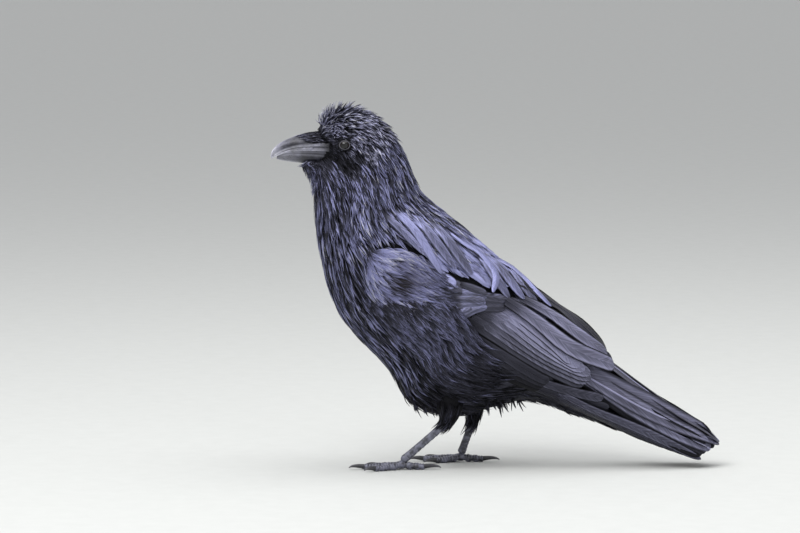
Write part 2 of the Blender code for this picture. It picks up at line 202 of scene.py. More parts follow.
def side_place(y, z):
    """Where the body's left side shows side-view points behind its nape: the station, found by
    halving, and the angle from the back's line."""
    low, high = np.full(np.shape(y), NAPE_STATION), np.full(np.shape(y), len(BODY) - 1.0)
    for _ in range(HALVINGS):
        middle = (low + high) / 2
        back_y, back_z, front_y, front_z, _ = curve_columns(BODY, middle)
        behind = (back_y - front_y) * (z - front_z) - (back_z - front_z) * (y - front_y) < 0
        low, high = np.where(behind, middle, low), np.where(behind, high, middle)
    back_y, back_z, front_y, front_z, _ = curve_columns(BODY, low)
    deep_y, deep_z = back_y - front_y, back_z - front_z
    off = (y - (back_y + front_y) / 2) * deep_y + (z - (back_z + front_z) / 2) * deep_z
    return low, np.arccos(np.clip(2 * off / (deep_y**2 + deep_z**2), -0.995, 0.995))


class Surface:
    """A smooth sheet of points, read between them at s and t from 0 to 1. turned says that its
    outward normal is across x along and not along x across. closed joins t = 0 to t = 1. box is
    its place on the baking map. Spans along it count its stations, or shares where it has none."""

    def __init__(self, place, rows, columns, box, turned=False, closed=False, stations=1):
        self.closed, self.box, self.stations = closed, box, stations
        s, t = np.meshgrid(np.linspace(0, 1, rows), np.linspace(0, 1, columns), indexing="ij")
        self.points = place(s, t)
        self.along = np.gradient(self.points, axis=0) * (rows - 1)
        self.across = np.gradient(self.points, axis=1) * (columns - 1)
        if closed:
            middle = (self.points[:, 1] - self.points[:, -2]) / 2 * (columns - 1)
            self.across[:, 0] = self.across[:, -1] = middle
        normal = unit(np.cross(self.along, self.across))
        self.normals = -normal if turned else normal

    def read(self, s, t):
        """Points, normals, and how far the surface runs for each unit of s and of t."""
        rows, columns = self.points.shape[:2]
        t = t % 1.0 if self.closed else np.clip(t, 0, 1)
        a, b = np.clip(s, 0, 1) * (rows - 1), t * (columns - 1)
        i, j = np.minimum(a.astype(int), rows - 2), np.minimum(b.astype(int), columns - 2)
        f, g = (a - i)[..., None], (b - j)[..., None]
        found = []
        for grid in (self.points, self.normals, self.along, self.across):
            low = grid[i, j] * (1 - g) + grid[i, j + 1] * g
            high = grid[i + 1, j] * (1 - g) + grid[i + 1, j + 1] * g
            found.append(low * (1 - f) + high * f)
        found[1] = unit(found[1])
        return found

    def scatter(self, span, apart, seed):
        """Places for feathers, in staggered rows. span is the range of s and then of t, and apart
        is how far in millimetres the rows are from each other and the feathers in a row."""
        chance = np.random.default_rng(seed)
        s0, s1 = span[0] / self.stations, span[1] / self.stations
        t0, t1 = span[2:]
        steps, row_t = np.linspace(s0, s1, SAMPLES), np.linspace(t0, t1, SAMPLES)
        run = distance_along(self.read(steps, np.full(SAMPLES, (t0 + t1) / 2))[0])
        count = max(2, round(run[-1] / (apart[0] * MM)))
        places = []
        for k in range(count):
            s = np.interp(run[-1] * (k + 0.5) / count, run, steps)
            wide = distance_along(self.read(np.full(SAMPLES, s), row_t)[0])
            many = max(1, round(wide[-1] / (apart[1] * MM)))
            at = (np.arange(many) + 0.25 + 0.5 * (k % 2) + chance.uniform(-1, 1, many) * RAGGED) / many
            step_s = (s1 - s0) / count * RAGGED
            places.append(np.stack([s + chance.uniform(-1, 1, many) * step_s,
                                    np.interp(np.clip(at, 0, 1) * wide[-1], wide, row_t)], -1))
        return np.concatenate(places)

    def map_place(self, s, t):
        """Where (s, t) lies on the baking map."""
        low_u, low_v, high_u, high_v = self.box
        t = t % 1.0 if self.closed else np.clip(t, 0, 1)
        return np.stack([low_u + (high_u - low_u) * np.clip(s, 0, 1), low_v + (high_v - low_v) * t], -1)


# ---- feathers ----

# Cross-sections of a blade: how far each point is across (-1 to 1) and how high, in thicknesses.
STRAND = [(-1, 0), (0, 1), (1, 0)]
VANE = [(-1, 0), (-0.55, 0.7), (-0.1, 0.8), (0, 1.5), (0.1, 0.8), (0.55, 0.7), (1, 0), (0, -0.5)]
QUILLED = [(-1, 0), (-0.66, 0.8), (-0.33, 0.9), (-0.06, 0.9), (-0.03, 2.2), (0.03, 2.2), (0.06, 0.9),
           (0.33, 0.9), (0.66, 0.8), (1, 0), (0.5, -0.5), (-0.5, -0.5)]
# Outlines: half width along a blade, as a share of its greatest.
LANCE = [0.5, 0.85, 1.0, 0.92, 0.7, 0.36, 0.0]
SHORT_LANCE = [0.6, 1.0, 0.85, 0.45, 0.0]
ROUNDED = [0.45, 0.75, 0.95, 1.0, 0.97, 0.84, 0.6, 0.3, 0.0]
ROUNDED_AT = [0, 0.2, 0.42, 0.62, 0.78, 0.89, 0.955, 0.99, 1.0]
POINTED = [0.45, 0.8, 1.0, 0.98, 0.82, 0.58, 0.36, 0.16, 0.0]


def grow(surface, at, length, pitch=0.0, turn=0.0, lift=0.0, settle=0.0, shares=7):
    """Centre lines of feathers and the surface's normals along them. Lengths and lifts are in
    millimetres; pitch is the angle over the surface at the root and settle at the tip, and turn
    the angle towards growing t. shares are the rows' places along the feather, or their number."""
    shares = np.linspace(0, 1, shares) if np.isscalar(shares) else np.asarray(shares, float)
    s, t = at[:, 0].copy(), at[:, 1].copy()
    length, pitch, turn, height, settle = (
        spread_over(v, len(at)).copy() for v in (length, pitch, turn, lift, settle)
    )
    paths, normals = [], []
    for k, share in enumerate(shares):
        point, normal, along, across = surface.read(s, t)
        paths.append(point + normal * height[:, None] * MM)
        normals.append(normal)
        if k + 1 < len(shares):
            step = length * (shares[k + 1] - share)
            rise = pitch + (settle - pitch) * share
            flat = step * np.cos(rise) * MM
            s += flat * np.cos(turn) / np.maximum(np.linalg.norm(along, axis=1), 1e-6)
            t += flat * np.sin(turn) / np.maximum(np.linalg.norm(across, axis=1), 1e-6)
            height += step * np.sin(rise)
    return np.stack(paths, 1), np.stack(normals, 1)


def clump(paths, share, spacing, seed):
    """Draws the tips of neighbouring feathers together into locks about spacing mm apart."""
    chance = np.random.default_rng(seed)
    roots = paths[:, 0]
    cells = np.unique(np.floor(roots / (spacing * MM)).astype(int), axis=0)
    guides = chance.choice(len(roots), min(len(cells), len(roots)), replace=False)
    best, nearest = np.full(len(roots), np.inf), np.zeros(len(roots), int)
    for g in guides:
        gap = ((roots - roots[g]) ** 2).sum(1)
        closer = gap < best
        best[closer], nearest[closer] = gap[closer], g
    pull = np.linspace(0, 1, paths.shape[1]) ** 1.6
    strength = spread_over(share, len(roots))
    return paths + (paths[nearest] - paths) * pull[None, :, None] * strength[:, None, None]


def hang(paths, sag):
    """Bends feathers down under their own weight, by sag millimetres at the tip."""
    fall = np.linspace(0, 1, paths.shape[1]) ** 2
    dropped = paths.copy()
    dropped[..., 2] -= spread_over(sag, len(paths))[:, None] * fall[None] * MM
    return dropped


def dress(piece, look):
    """Gives a piece its material, and says what it rides on."""
    piece.data.materials.append(look)
    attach(piece, "root")
    return piece


def show(name, data):
    """A new object in the scene."""
    made = bpy.data.objects.new(name, data)
    bpy.context.scene.collection.objects.link(made)
    return made


def mesh_piece(name, points, quads, triangles, values, sharp=None, patch=None):
    """An object from arrays, with its values for the material and, for the coat, the baking map."""
    mesh = bpy.data.meshes.new(name)
    corners = np.concatenate([quads.reshape(-1), triangles.reshape(-1)]).astype(np.int32)
    starts = np.concatenate([np.arange(len(quads)) * 4, len(quads) * 4 + np.arange(len(triangles)) * 3])
    mesh.vertices.add(len(points))
    mesh.vertices.foreach_set("co", np.ascontiguousarray(points, np.float32).reshape(-1))
    mesh.loops.add(len(corners))
    mesh.loops.foreach_set("vertex_index", corners)
    mesh.polygons.add(len(starts))
    mesh.polygons.foreach_set("loop_start", starts.astype(np.int32))
    mesh.update(calc_edges=True)
    if patch is not None:
        baking = mesh.uv_layers.new(name="OFBake")
        baking.data.foreach_set("uv", np.ascontiguousarray(patch[corners], np.float32).reshape(-1))
    for label, value in values.items():
        kind, field = ("FLOAT", "value") if value.ndim == 1 else ("FLOAT_VECTOR", "vector")
        stored = mesh.attributes.new(label, kind, "POINT")
        stored.data.foreach_set(field, np.ascontiguousarray(value, np.float32).reshape(-1))
    mesh.shade_smooth()
    if sharp:
        mesh.set_sharp_from_angle(angle=math.radians(sharp))
    return show(name, mesh)


def tube_faces(rows, ring):
    """The quads of a tube, and the numbers of a ring's points and of the points after them."""
    j = np.arange(ring)
    after = (j + 1) % ring
    near_ring, far_ring = (np.arange(rows - 1)[:, None] + k for k in (0, 1))
    corners = [near_ring * ring + j, near_ring * ring + after, far_ring * ring + after, far_ring * ring + j]
    return np.stack(corners, -1).reshape(-1, 4), j, after


def blades(name, paths, normals, width, shade, map_at, section=STRAND, outline=LANCE, shares=None,
           thick=0.3, camber=0.0, roll=0.0, ragged=0.0, lean=0.0, wear_and_highlight=0.0, seed=1, sharp=None):
    """Closed feather blades round their centre lines, as one joined mesh. width is the greatest
    half width, thick the thickness and camber the fall of the edges, all in millimetres; roll
    turns a blade about its line; lean makes its left side wider than its right; ragged is how
    uneven its edges are. shade, wear and each point's place on the vane go to the material."""
    chance = np.random.default_rng(seed)
    count, rows = paths.shape[:2]
    outline = np.asarray(outline, float)
    shares = np.linspace(0, 1, rows) if shares is None else np.asarray(shares, float)
    x, y = np.array(section, float).T
    ring = len(x)
    ahead = unit(np.gradient(paths, axis=1))
    aside = unit(np.cross(ahead, normals))
    up = np.cross(aside, ahead)
    roll, width, thick, camber, lean = (
        spread_over(v, count)[:, None, None] for v in (roll, width, thick, camber, lean)
    )
    aside, up = aside * np.cos(roll) + up * np.sin(roll), up * np.cos(roll) - aside * np.sin(roll)
    wide = outline[None, :, None] * width * (1 - ragged * chance.uniform(0, 1, (count, rows, ring)))
    across = x[None, None] * wide * (1 + lean * np.sign(-x)[None, None])
    slim = 0.35 + 0.65 * np.minimum(1, outline * 1.6)[None, :, None]
    height = y[None, None] * thick * slim - camber * x[None, None] ** 2 * outline[None, :, None]
    points = (paths[:, :, None] + aside[:, :, None] * across[..., None] * MM
              + up[:, :, None] * height[..., None] * MM)
    every = np.concatenate([points[:, :-1].reshape(count, -1, 3), paths[:, -1:]], 1)
    each = every.shape[1]
    start = (np.arange(count) * each)[:, None, None]
    quads, j, after = tube_faces(rows - 1, ring)
    last = (rows - 2) * ring
    tips = np.stack([last + j, last + after, np.full(ring, each - 1)], -1)
    fan = np.stack([np.zeros(ring - 2, int), np.arange(2, ring), np.arange(1, ring - 1)], -1)
    triangles = np.concatenate([tips, fan])
    side = np.append(np.tile(x, rows - 1), 0)
    run = np.append(np.repeat(shares[:-1], ring), 1)
    length = np.linalg.norm(np.diff(paths, axis=1), axis=2).sum(1)
    vane = np.zeros((count, each, 3))
    vane[:, :-1, 0] = across[:, :-1].reshape(count, -1) * MM
    vane[:, :, 1] = run * length[:, None]
    vane[:, :, 2] = chance.uniform(0, 1, (count, 1))
    values = {
        "shade": np.repeat(spread_over(shade, count), each),
        "wear_and_highlight": np.repeat(spread_over(wear_and_highlight, count), each),
        "vane": vane.reshape(-1, 3),
        "reach": np.tile(run, count),
        "edge": np.tile(np.abs(side), count),
    }
    patch = map_at[:, None] + np.stack([side * 0.5, run - 0.5], -1) * PATCH
    return mesh_piece(name, every.reshape(-1, 3), (quads + start).reshape(-1, 4),
                      (triangles + start).reshape(-1, 3), values, sharp, patch.reshape(-1, 2))


# ---- materials ----


class Look:
    """A material while its nodes are wired up. Sockets take numbers, colours or other outputs."""

    def __init__(self, name, roughness, metallic=0.0, specular=0.5):
        self.material = bpy.data.materials.new(name)
        self.material.use_nodes = True
        self.tree = self.material.node_tree
        self.shader = self.tree.nodes["Principled BSDF"]
        self.shader.inputs["Roughness"].default_value = roughness
        self.shader.inputs["Metallic"].default_value = metallic
        self.shader.inputs["Specular IOR Level"].default_value = specular

    def put(self, socket, value):
        if isinstance(value, bpy.types.NodeSocket):
            self.tree.links.new(value, socket)
        else:
            socket.default_value = value

    def add(self, kind, inputs=(), **settings):
        node = self.tree.nodes.new("ShaderNode" + kind)
        for key, value in settings.items():
            setattr(node, key, value)
        for key, value in dict(inputs).items():
            self.put(node.inputs[key], value)
        return node

    def value(self, label):
        return self.add("Attribute", attribute_name=label).outputs["Fac"]

    def parts(self, label):
        split = self.add("SeparateXYZ", {0: self.add("Attribute", attribute_name=label).outputs["Vector"]})
        return split.outputs

    def math(self, operation, *values):
        return self.add("Math", dict(enumerate(values)), operation=operation).outputs[0]

    def times(self, *values):
        return self.math("MULTIPLY", *values)

    def vector(self, *values):
        return self.add("CombineXYZ", dict(enumerate(values))).outputs[0]

    def place(self):
        return self.add("TexCoord").outputs["Object"]

    def noise(self, where, scale, detail=3.0, roughness=0.55):
        inputs = {"Vector": where, "Scale": scale, "Detail": detail, "Roughness": roughness}
        return self.add("TexNoise", inputs).outputs["Fac"]

    def between(self, value, low, high, start=0.0, end=1.0):
        inputs = {"Value": value, "From Min": low, "From Max": high, "To Min": start, "To Max": end}
        return self.add("MapRange", inputs, interpolation_type="SMOOTHSTEP").outputs["Result"]

    def mix(self, share, first, second):
        node = self.add("Mix", data_type="RGBA")
        self.put(node.inputs["Factor"], share)
        for key, colour in (("A", first), ("B", second)):
            socket = next(i for i in node.inputs if i.name == key and i.type == "RGBA")
            self.put(socket, colour if isinstance(colour, bpy.types.NodeSocket) else (*colour, 1))
        return next(o for o in node.outputs if o.type == "RGBA")

    def bump(self, height, distance, strength=1.0, over=None):
        inputs = {"Height": height, "Distance": distance, "Strength": strength}
        if over is not None:
            inputs["Normal"] = over
        return self.add("Bump", inputs).outputs["Normal"]

    def done(self, colour, roughness=None, normal=None):
        self.put(self.shader.inputs["Base Color"], colour)
        if roughness is not None:
            self.put(self.shader.inputs["Roughness"], roughness)
        if normal is not None:
            self.put(self.shader.inputs["Normal"], normal)
        return self.material


BLACK = (0.004, 0.004, 0.005)
SLATE = (0.060, 0.060, 0.085)
GLOSS = (0.29, 0.29, 0.43)
SILVER = (0.36, 0.365, 0.52)
# a pale painted highlight colour, for the palest feather shades
PALE_HIGHLIGHT = (0.62, 0.62, 0.68)
SHEEN = (0.29, 0.30, 0.52)
BROWN = (0.030, 0.024, 0.022)
BARB_PITCH = 0.7 * MM


def feather_colour(look, streak, gloss):
    """Black to a glossy colour by each feather's shade, then on to a pale painted highlight for the palest,
    duller and browner where it is worn.
    """
    shade = look.times(look.value("shade"), streak)
    dark = look.mix(look.between(shade, 0.0, 0.5), BLACK, SLATE)
    lit = look.mix(look.between(shade, 0.35, 1.0), dark, gloss)
    lit = look.mix(look.between(shade, 1.35, 2.3), lit, PALE_HIGHLIGHT)
    return look.mix(look.value("wear_and_highlight"), lit, BROWN)


def strand_look(name, roughness, gloss):
    """Narrow body feathers: hair-like barbs along the blade, paler towards the tip; the darker roots are
    painted shade, for they lie under other strands.
    """
    look = Look(name, roughness, metallic=0.85)
    across, along, chance = look.parts("vane")
    where = look.vector(look.times(across, 2600.0), look.times(along, 130.0), look.times(chance, 60.0))
    barbs = look.noise(where, 1.0, 2.0)
    tip = look.between(look.value("reach"), 0.0, 0.75, 0.35, 1.1)
    streak = look.times(tip, look.between(barbs, 0.3, 0.7, 0.55, 1.25))
    rough = look.between(barbs, 0.3, 0.7, roughness + 0.1, roughness - 0.06)
    return look.done(feather_colour(look, streak, gloss), rough, look.bump(barbs, 0.0004, 0.6))


def vane_look(name, roughness, gloss, shaft_width, shaft_highlight, rim, cloud):
    """Broad feathers: a shaft, and barbs that slant out from it towards the tip. rim is how dark the painted
    shadow along each edge is.
    """
    look = Look(name, roughness, metallic=0.85)
    across, along, chance = look.parts("vane")
    out = look.math("ABSOLUTE", across)
    slant = look.math("SUBTRACT", along, look.times(out, 2.3))
    seed = look.times(chance, 40.0)
    clumps = look.noise(look.vector(look.times(slant, 300.0), look.times(out, 60.0), seed), 1.0)
    fine = look.math("SINE", look.times(slant, 2 * math.pi / BARB_PITCH))
    broad = look.noise(look.vector(look.times(across, 60.0), look.times(along, 25.0), seed), 1.0)
    shaft = look.between(out, shaft_width * 0.4, shaft_width, 1.0, 0.0)
    streak = look.times(look.between(clumps, 0.3, 0.7, 0.84, 1.12),
                       look.between(broad, 0.25, 0.75, 1 - cloud, 1 + cloud))
    # Paler just inside the edge, a painted shadow line along the edge itself, and painted shade darkening the
    # root, which lies under other feathers.
    bands = [("edge", 0.45, 0.72, 1.0, 1.25), ("edge", 0.76, 0.98, 1.0, rim), ("reach", 0.0, 0.25, 0.45, 1.0)]
    for label, *span in bands:
        streak = look.times(streak, look.between(look.value(label), *span))
    # The shaft is paler: a painted highlight along it.
    streak = look.math("ADD", streak, look.times(shaft, shaft_highlight))
    height = look.math("ADD", clumps, look.times(fine, 0.1))
    rough = look.between(clumps, 0.3, 0.7, roughness + 0.08, roughness - 0.05)
    return look.done(feather_colour(look, streak, gloss), rough, look.bump(height, 0.00045, 0.5))


def skin_look():
    look = Look("skin_dark", 0.8, specular=0.12)
    where = look.place()
    mottle = look.noise(where, 350.0)
    colour = look.mix(look.between(mottle, 0.3, 0.7), (0.002, 0.002, 0.003), (0.006, 0.006, 0.008))
    return look.done(colour, None, look.bump(mottle, 0.0006, 0.7))


def horn_look(name, dark, pale, lengthwise):
    """Bill or claw horn: a dark gloss with scratches and growth lines, paler at the worn claw tips and at the
    bill's painted highlights.
    """
    look = Look(name, 0.3, metallic=0.35, specular=0.6)
    where = look.place()
    cloud = look.noise(where, 90.0)
    stretch = look.add("Mapping", {"Vector": where, "Scale": lengthwise}).outputs[0]
    lines = look.noise(stretch, 1.0, 4.0, 0.65)
    wear_and_highlight = look.times(look.value("wear_and_highlight"), look.between(lines, 0.2, 0.8, 0.6, 1.2))
    base = look.mix(look.between(cloud, 0.3, 0.75, 0.0, 0.6), dark, pale)
    # Darker where those fade: towards the root, and over the bill's lower half, which is painted shade there.
    base = look.mix(look.between(look.value("wear_and_highlight"), 0.0, 0.3, 0.75, 0.0), base, dark)
    colour = look.mix(wear_and_highlight, base, tuple(min(1, c * 4.4) for c in pale))
    rough = look.between(lines, 0.25, 0.75, 0.22, 0.46)
    return look.done(colour, rough, look.bump(lines, 0.0003, 0.5))


def scale_look():
    """The legs' horny scales: blue-black, paler and duller at the scales' edges."""
    look = Look("leg_scales", 0.3, metallic=0.25, specular=0.7)
    where = look.place()
    cloud = look.noise(where, 160.0)
    grain = look.noise(where, 900.0, 4.0)
    colour = look.mix(look.between(cloud, 0.4, 0.6), (0.016, 0.016, 0.023), (0.120, 0.123, 0.170))
    colour = look.mix(look.value("wear_and_highlight"), colour, (0.24, 0.245, 0.30))
    rough = look.between(grain, 0.3, 0.7, 0.34, 0.55)
    return look.done(colour, rough, look.bump(grain, 0.0003, 0.5))


# ---- skin ----

FLESH_OVERLAP = 0.5
FLESH = ["head", "neck", "trunk", "thigh_left", "thigh_right", "wing_coverts_left", "wing_coverts_right"]


def node_mesh(nodes, grow_by):
    """One mesh of several solids, each fatter by grow_by millimetres, so that they run together."""
    shape = bmesh.new()
    for node in nodes:
        part = bmesh.new()
        part.from_mesh(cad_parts[node].data)
        bmesh.ops.remove_doubles(part, verts=part.verts, dist=0.00002)
        part.normal_update()
        for vert in part.verts:
            vert.co += vert.normal * grow_by * MM
        joined = bpy.data.meshes.new(node)
        part.to_mesh(joined)
        part.free()
        shape.from_mesh(joined)
        bpy.data.meshes.remove(joined)
    mesh = bpy.data.meshes.new("flesh")
    shape.to_mesh(mesh)
    shape.free()
    return mesh


def unwrap_on(mesh, surfaces):
    """Gives each corner the map place of the nearest surface, so skin and coat share one unwrap."""
    cells = [(surface, *cell) for surface in surfaces for cell in np.ndindex(*surface.points.shape[:2])]
    tree = KDTree(len(cells))
    for index, (surface, i, j) in enumerate(cells):
        tree.insert(surface.points[i, j], index)
    tree.balance()
    mesh.uv_layers.new(name="OFBake")
    baking = mesh.uv_layers["OFBake"].data
    for face in mesh.polygons:
        _, index, _ = tree.find(face.center)
        surface, i, j = cells[index]
        rows, columns = surface.points.shape[:2]
        base, along, across = surface.points[i, j], surface.along[i, j], surface.across[i, j]
        low_u, low_v, high_u, high_v = surface.box
        for corner in face.loop_indices:
            off = np.array(mesh.vertices[mesh.loops[corner].vertex_index].co) - base
            s = i / (rows - 1) + off @ along / (along @ along + 1e-12)
            t = j / (columns - 1) + off @ across / (across @ across + 1e-12)
            baking[corner].uv = (low_u + (high_u - low_u) * s, low_v + (high_v - low_v) * t)


def make_skin(surfaces):
    flesh = FLESH + ["bill_upper", "bill_lower"]
    made = show("skin", node_mesh(flesh, FLESH_OVERLAP))
    for vertex in made.data.vertices:
        vertex.co.y = max(vertex.co.y, SKIN_FRONT * MM)
    remesh = made.modifiers.new("whole", "REMESH")
    remesh.mode = "VOXEL"
    remesh.voxel_size = SKIN_VOXEL * MM
    smooth = made.modifiers.new("smooth", "SMOOTH")
    smooth.factor = 0.5
    smooth.iterations = 8
    bpy.context.view_layer.update()
    mesh = bpy.data.meshes.new_from_object(made.evaluated_get(bpy.context.evaluated_depsgraph_get()))
    made.modifiers.clear()
    made.data = mesh
    count = len(mesh.vertices)
    points, normals = np.empty(count * 3, np.float32), np.empty(count * 3, np.float32)
    mesh.vertices.foreach_get("co", points)
    mesh.vertex_normals.foreach_get("vector", normals)
    depth = COAT_DEPTH + 5.0 * step_between(-points[1::3] / MM, 173, 182)
    mesh.vertices.foreach_set("co", points - normals * np.repeat(depth, 3) * MM)
    mesh.update()
    mesh.shade_smooth()
    unwrap_on(mesh, surfaces)
    mesh.materials.clear()
    dress(made, skin_look())
    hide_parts(*FLESH)
    return made


# ---- the surfaces ----

# Edges of the folded wing's coverts in the side view, from the wrist to the tips.
COVERTS_TOP = [(-142, 248), (-123, 255), (-92, 249), (-55, 221), (-3, 197), (58, 181)]
COVERTS_BOTTOM = [(-143, 232), (-138, 196), (-106, 169), (-50, 164), (-14, 184), (57, 176)]
WING_OUTLINE = [
    (-138, 244), (-92, 250), (-55, 221), (-3, 198), (60, 184), (122, 140), (133, 110),
    (100, 84), (60, 82), (20, 100), (-14, 128), (-40, 146), (-62, 160), (-104, 172), (-134, 198),
]

STATIONS = len(BODY) - 1
body = Surface(body_place(BODY), 301, 181, (0.02, 0.03, 0.74, 0.55), closed=True, stations=STATIONS)
rear = Surface(body_place(TRUNK), 281, 121, (0.76, 0.03, 0.98, 0.35), closed=True)


def on_body(y, z, side):
    """Places on the body's surface seen from the side at (y, z) in millimetres."""
    u, angle = side_place(np.asarray(y, float), np.asarray(z, float))
    return np.stack([u / STATIONS, 0.5 - side * angle / (2 * math.pi)], -1)


def wing_place(side):
    """The wing's coverts: s runs from the wrist to the tips, t from their top edge down."""

    def place(s, t):
        upper, lower = (read_curve(edge, s * (len(edge) - 1)) for edge in (COVERTS_TOP, COVERTS_BOTTOM))
        y, z = np.moveaxis(upper + (lower - upper) * t[..., None], -1, 0)
        at = on_body(y, z, side)
        return body.read(at[..., 0], at[..., 1])[0]

    return place


def thigh_place(label):
    """The feathered leg and the top of its shank, over which its feathers hang: s runs down it, t
    round it from the side away from the bird's middle."""
    lean, side = LEANS[label], SIDES[label]
    x, y, z, radius = THIGHS[label][-1]
    rings = THIGHS[label] + [(x, y + 16 * lean[0], z + 16 * lean[1], radius - 1.6)]

    def place(s, t):
        x, y, z, radius = curve_columns(rings, s * (len(rings) - 1))
        angle = t * 2 * math.pi
        down = unit(np.stack([lean[0] * s**2, lean[1] * s**2 - (1 - s**2)], -1))
        out, fore = side * 0.9 * radius * np.cos(angle), side * radius * np.sin(angle)
        return np.stack([x + out, y - down[..., 1] * fore, z + down[..., 0] * fore], -1) * MM

    return place


def tail_place(s, t):
    """The arch of the tail: s runs to the tip, t from the right edge over the ridge to the left."""
    (start_y, start_z), (end_y, end_z) = RIDGE[0], RIDGE[-1]
    down = unit(np.array([0, end_z - start_z, start_y - end_y], float))
    turn = (2 * t - 1) * TAIL_HALF_ANGLE
    half = TAIL_HALF_WIDTH[0] + (TAIL_HALF_WIDTH[1] - TAIL_HALF_WIDTH[0]) * s
    drop = TAIL_DROP[0] + (TAIL_DROP[1] - TAIL_DROP[0]) * s
    ridge = read_curve(RIDGE, s * (len(RIDGE) - 1))
    base = np.stack([half * np.sin(turn), ridge[..., 0], ridge[..., 1]], -1)
    return (base + down * (drop * (1 - np.cos(turn)))[..., None]) * MM


coverts = {
    "left": Surface(wing_place(1), 121, 61, (0.02, 0.60, 0.36, 0.95), turned=True),
    "right": Surface(wing_place(-1), 121, 61, (0.38, 0.60, 0.72, 0.95)),
}
thighs = {
    "left": Surface(thigh_place("left"), 61, 61, (0.76, 0.38, 0.98, 0.52), closed=True),
    "right": Surface(thigh_place("right"), 61, 61, (0.76, 0.55, 0.98, 0.69), closed=True),
}
tail_arch = Surface(tail_place, 121, 121, (0.76, 0.72, 0.98, 0.95), turned=True)


# ---- the coat ----

# How far a lock's strands are from its middle line, along it, as a share of its spread.
LOCK_FORM = [0.7, 0.95, 1.0, 0.9, 0.68, 0.38, 0.06]
FLANK = [
    (-146, 214), (-120, 232), (-84, 222), (-50, 192), (-30, 168), (-19, 140), (-16, 98), (-44, 80),
    (-83, 80), (-112, 112), (-136, 158),
]
# The ragged line, in the side view, where the feathers of the back end over the wing.
GAP = [
    (-150, 240), (-128, 250), (-106, 250), (-83, 243), (-61, 224), (-39, 218), (-8, 205), (29, 192),
    (60, 179),
]
# Where the bill ends and the face begins, as heights and y.
FACE_EDGE = [(330, -220), (339, -218), (345, -196), (351, -184), (364, -184), (372, -195), (381, -200)]
EYE_CLEARANCE = 6.4
BLOTCH_SIZE = 26  # of the paler and darker clouds over neighbouring feathers
FOLDED_WING_DEPTH = 26  # from the bird's middle out, where feathers would grow into the wing


def inside(outline, y, z):
    """Which side-view points lie inside a closed outline."""
    found = np.zeros(np.shape(y), bool)
    for (ay, az), (by, bz) in zip(outline, outline[1:] + outline[:1]):
        crosses = (az > z) != (bz > z)
        found ^= crosses & (y < (by - ay) * (z - az) / ((bz - az) or 1e-9) + ay)
    return found


def split_locks(paths, normals, count, spread, dome, chance):
    """Strands of each lock, side by side at the root and drawn together at the tip."""
    locks, rows = paths.shape[:2]
    aside = unit(np.cross(unit(np.gradient(paths, axis=1)), normals))
    form = np.interp(np.linspace(0, 1, rows), np.linspace(0, 1, len(LOCK_FORM)), LOCK_FORM)
    offset = np.linspace(-1, 1, count)[None] + chance.uniform(-0.5, 0.5, (locks, count)) / count
    reach = 1 - 0.22 * offset**2 - chance.uniform(0, 0.14, (locks, count))
    at = np.linspace(0, 1, rows)[None, None] * reach[..., None] * (rows - 1)
    low = np.minimum(at.astype(int), rows - 2)
    part = (at - low)[..., None]
    index = np.arange(locks)[:, None, None]
    line, up, out = (v[index, low] * (1 - part) + v[index, low + 1] * part for v in (paths, normals, aside))
    up = unit(up)
    wave = 0.12 * np.sin(at * 1.7 + chance.uniform(0, 6, (locks, count))[..., None])
    away = (offset[..., None] * form + wave) * spread[:, None, None]
    rise = dome * (1 - offset[..., None] ** 2) * form + chance.uniform(-0.1, 0.1, (locks, count, 1))
    line = line + out * away[..., None] * MM + up * rise[..., None] * MM
    return line.reshape(-1, rows, 3), up.reshape(-1, rows, 3)


def bed(surface, span, apart, seed, size, tilt, shade, locks=(0.0, 10), strands=(1, 2.0, 0.6), lift=-2.4,
        sag=0.0, uneven=0.25, keep=None, rows=7, roll=0.25, wear_and_highlight=0.0, thick=0.28, blotch=0.25, stray=6,
        tone_spread=0.3, contrast=1.0):
    """A patch of feathers before it is meshed, placed by span and apart as Surface.scatter says.
    size is the length and the half width, and tilt the angles over the surface at the root and
    the tip, in millimetres and degrees. locks is how strongly and how widely tips draw together.
    strands is how many strands make up a feather, how far they spread and how high their middle
    lies; their tones differ by contrast. keep says which roots stay. Tilts, shades, lifts and
    wears may be functions of the root's (x, y, z) in millimetres."""
    chance = np.random.default_rng(seed)
    at = surface.scatter(span, apart, seed)
    roots = surface.read(at[:, 0], at[:, 1])[0] / MM
    if keep is not None:
        stays = keep(*roots.T)
        at, roots = at[stays], roots[stays]
    count = len(at)

    def told(value):
        return spread_over(value(*roots.T) if callable(value) else value, count)

    def varied(value, share):
        return told(value) * (1 + chance.uniform(-share, share, count))

    paths, normals = grow(
        surface, at, varied(size[0], uneven), np.radians(varied(tilt[0], 0.6)),
        np.radians(chance.normal(0, stray, count)), told(lift), np.radians(told(tilt[1])), rows,
    )
    if locks[0]:
        paths = clump(paths, *locks, seed + 1)
    paths = hang(paths, sag)
    cloud = blotch * ripple(roots * MM, BLOTCH_SIZE, seed)
    tone = told(shade) * (1 + cloud + chance.uniform(-1, 1, count) * tone_spread)
    found = {
        "width": varied(size[1], 0.25), "shade": tone, "map_at": surface.map_place(at[:, 0], at[:, 1]),
        "roll": chance.normal(0, roll, count), "wear_and_highlight": told(wear_and_highlight), "thick": told(thick),
    }
    many, spread, dome = strands
    if many > 1:
        paths, normals = split_locks(paths, normals, many, varied(spread, 0.25), dome, chance)
        found = {key: np.repeat(value, many, axis=0) for key, value in found.items()}
        light = chance.uniform(0, 1, len(paths)) ** 1.6
        found["shade"] = found["shade"] * (0.95 + contrast * (1.7 * light - 0.65))
        found["roll"] = found["roll"] + chance.normal(0, 0.3, len(paths))
    found["shade"] = np.clip(found["shade"], 0.02, 2.0)
    return {"paths": paths, "normals": normals, **found}


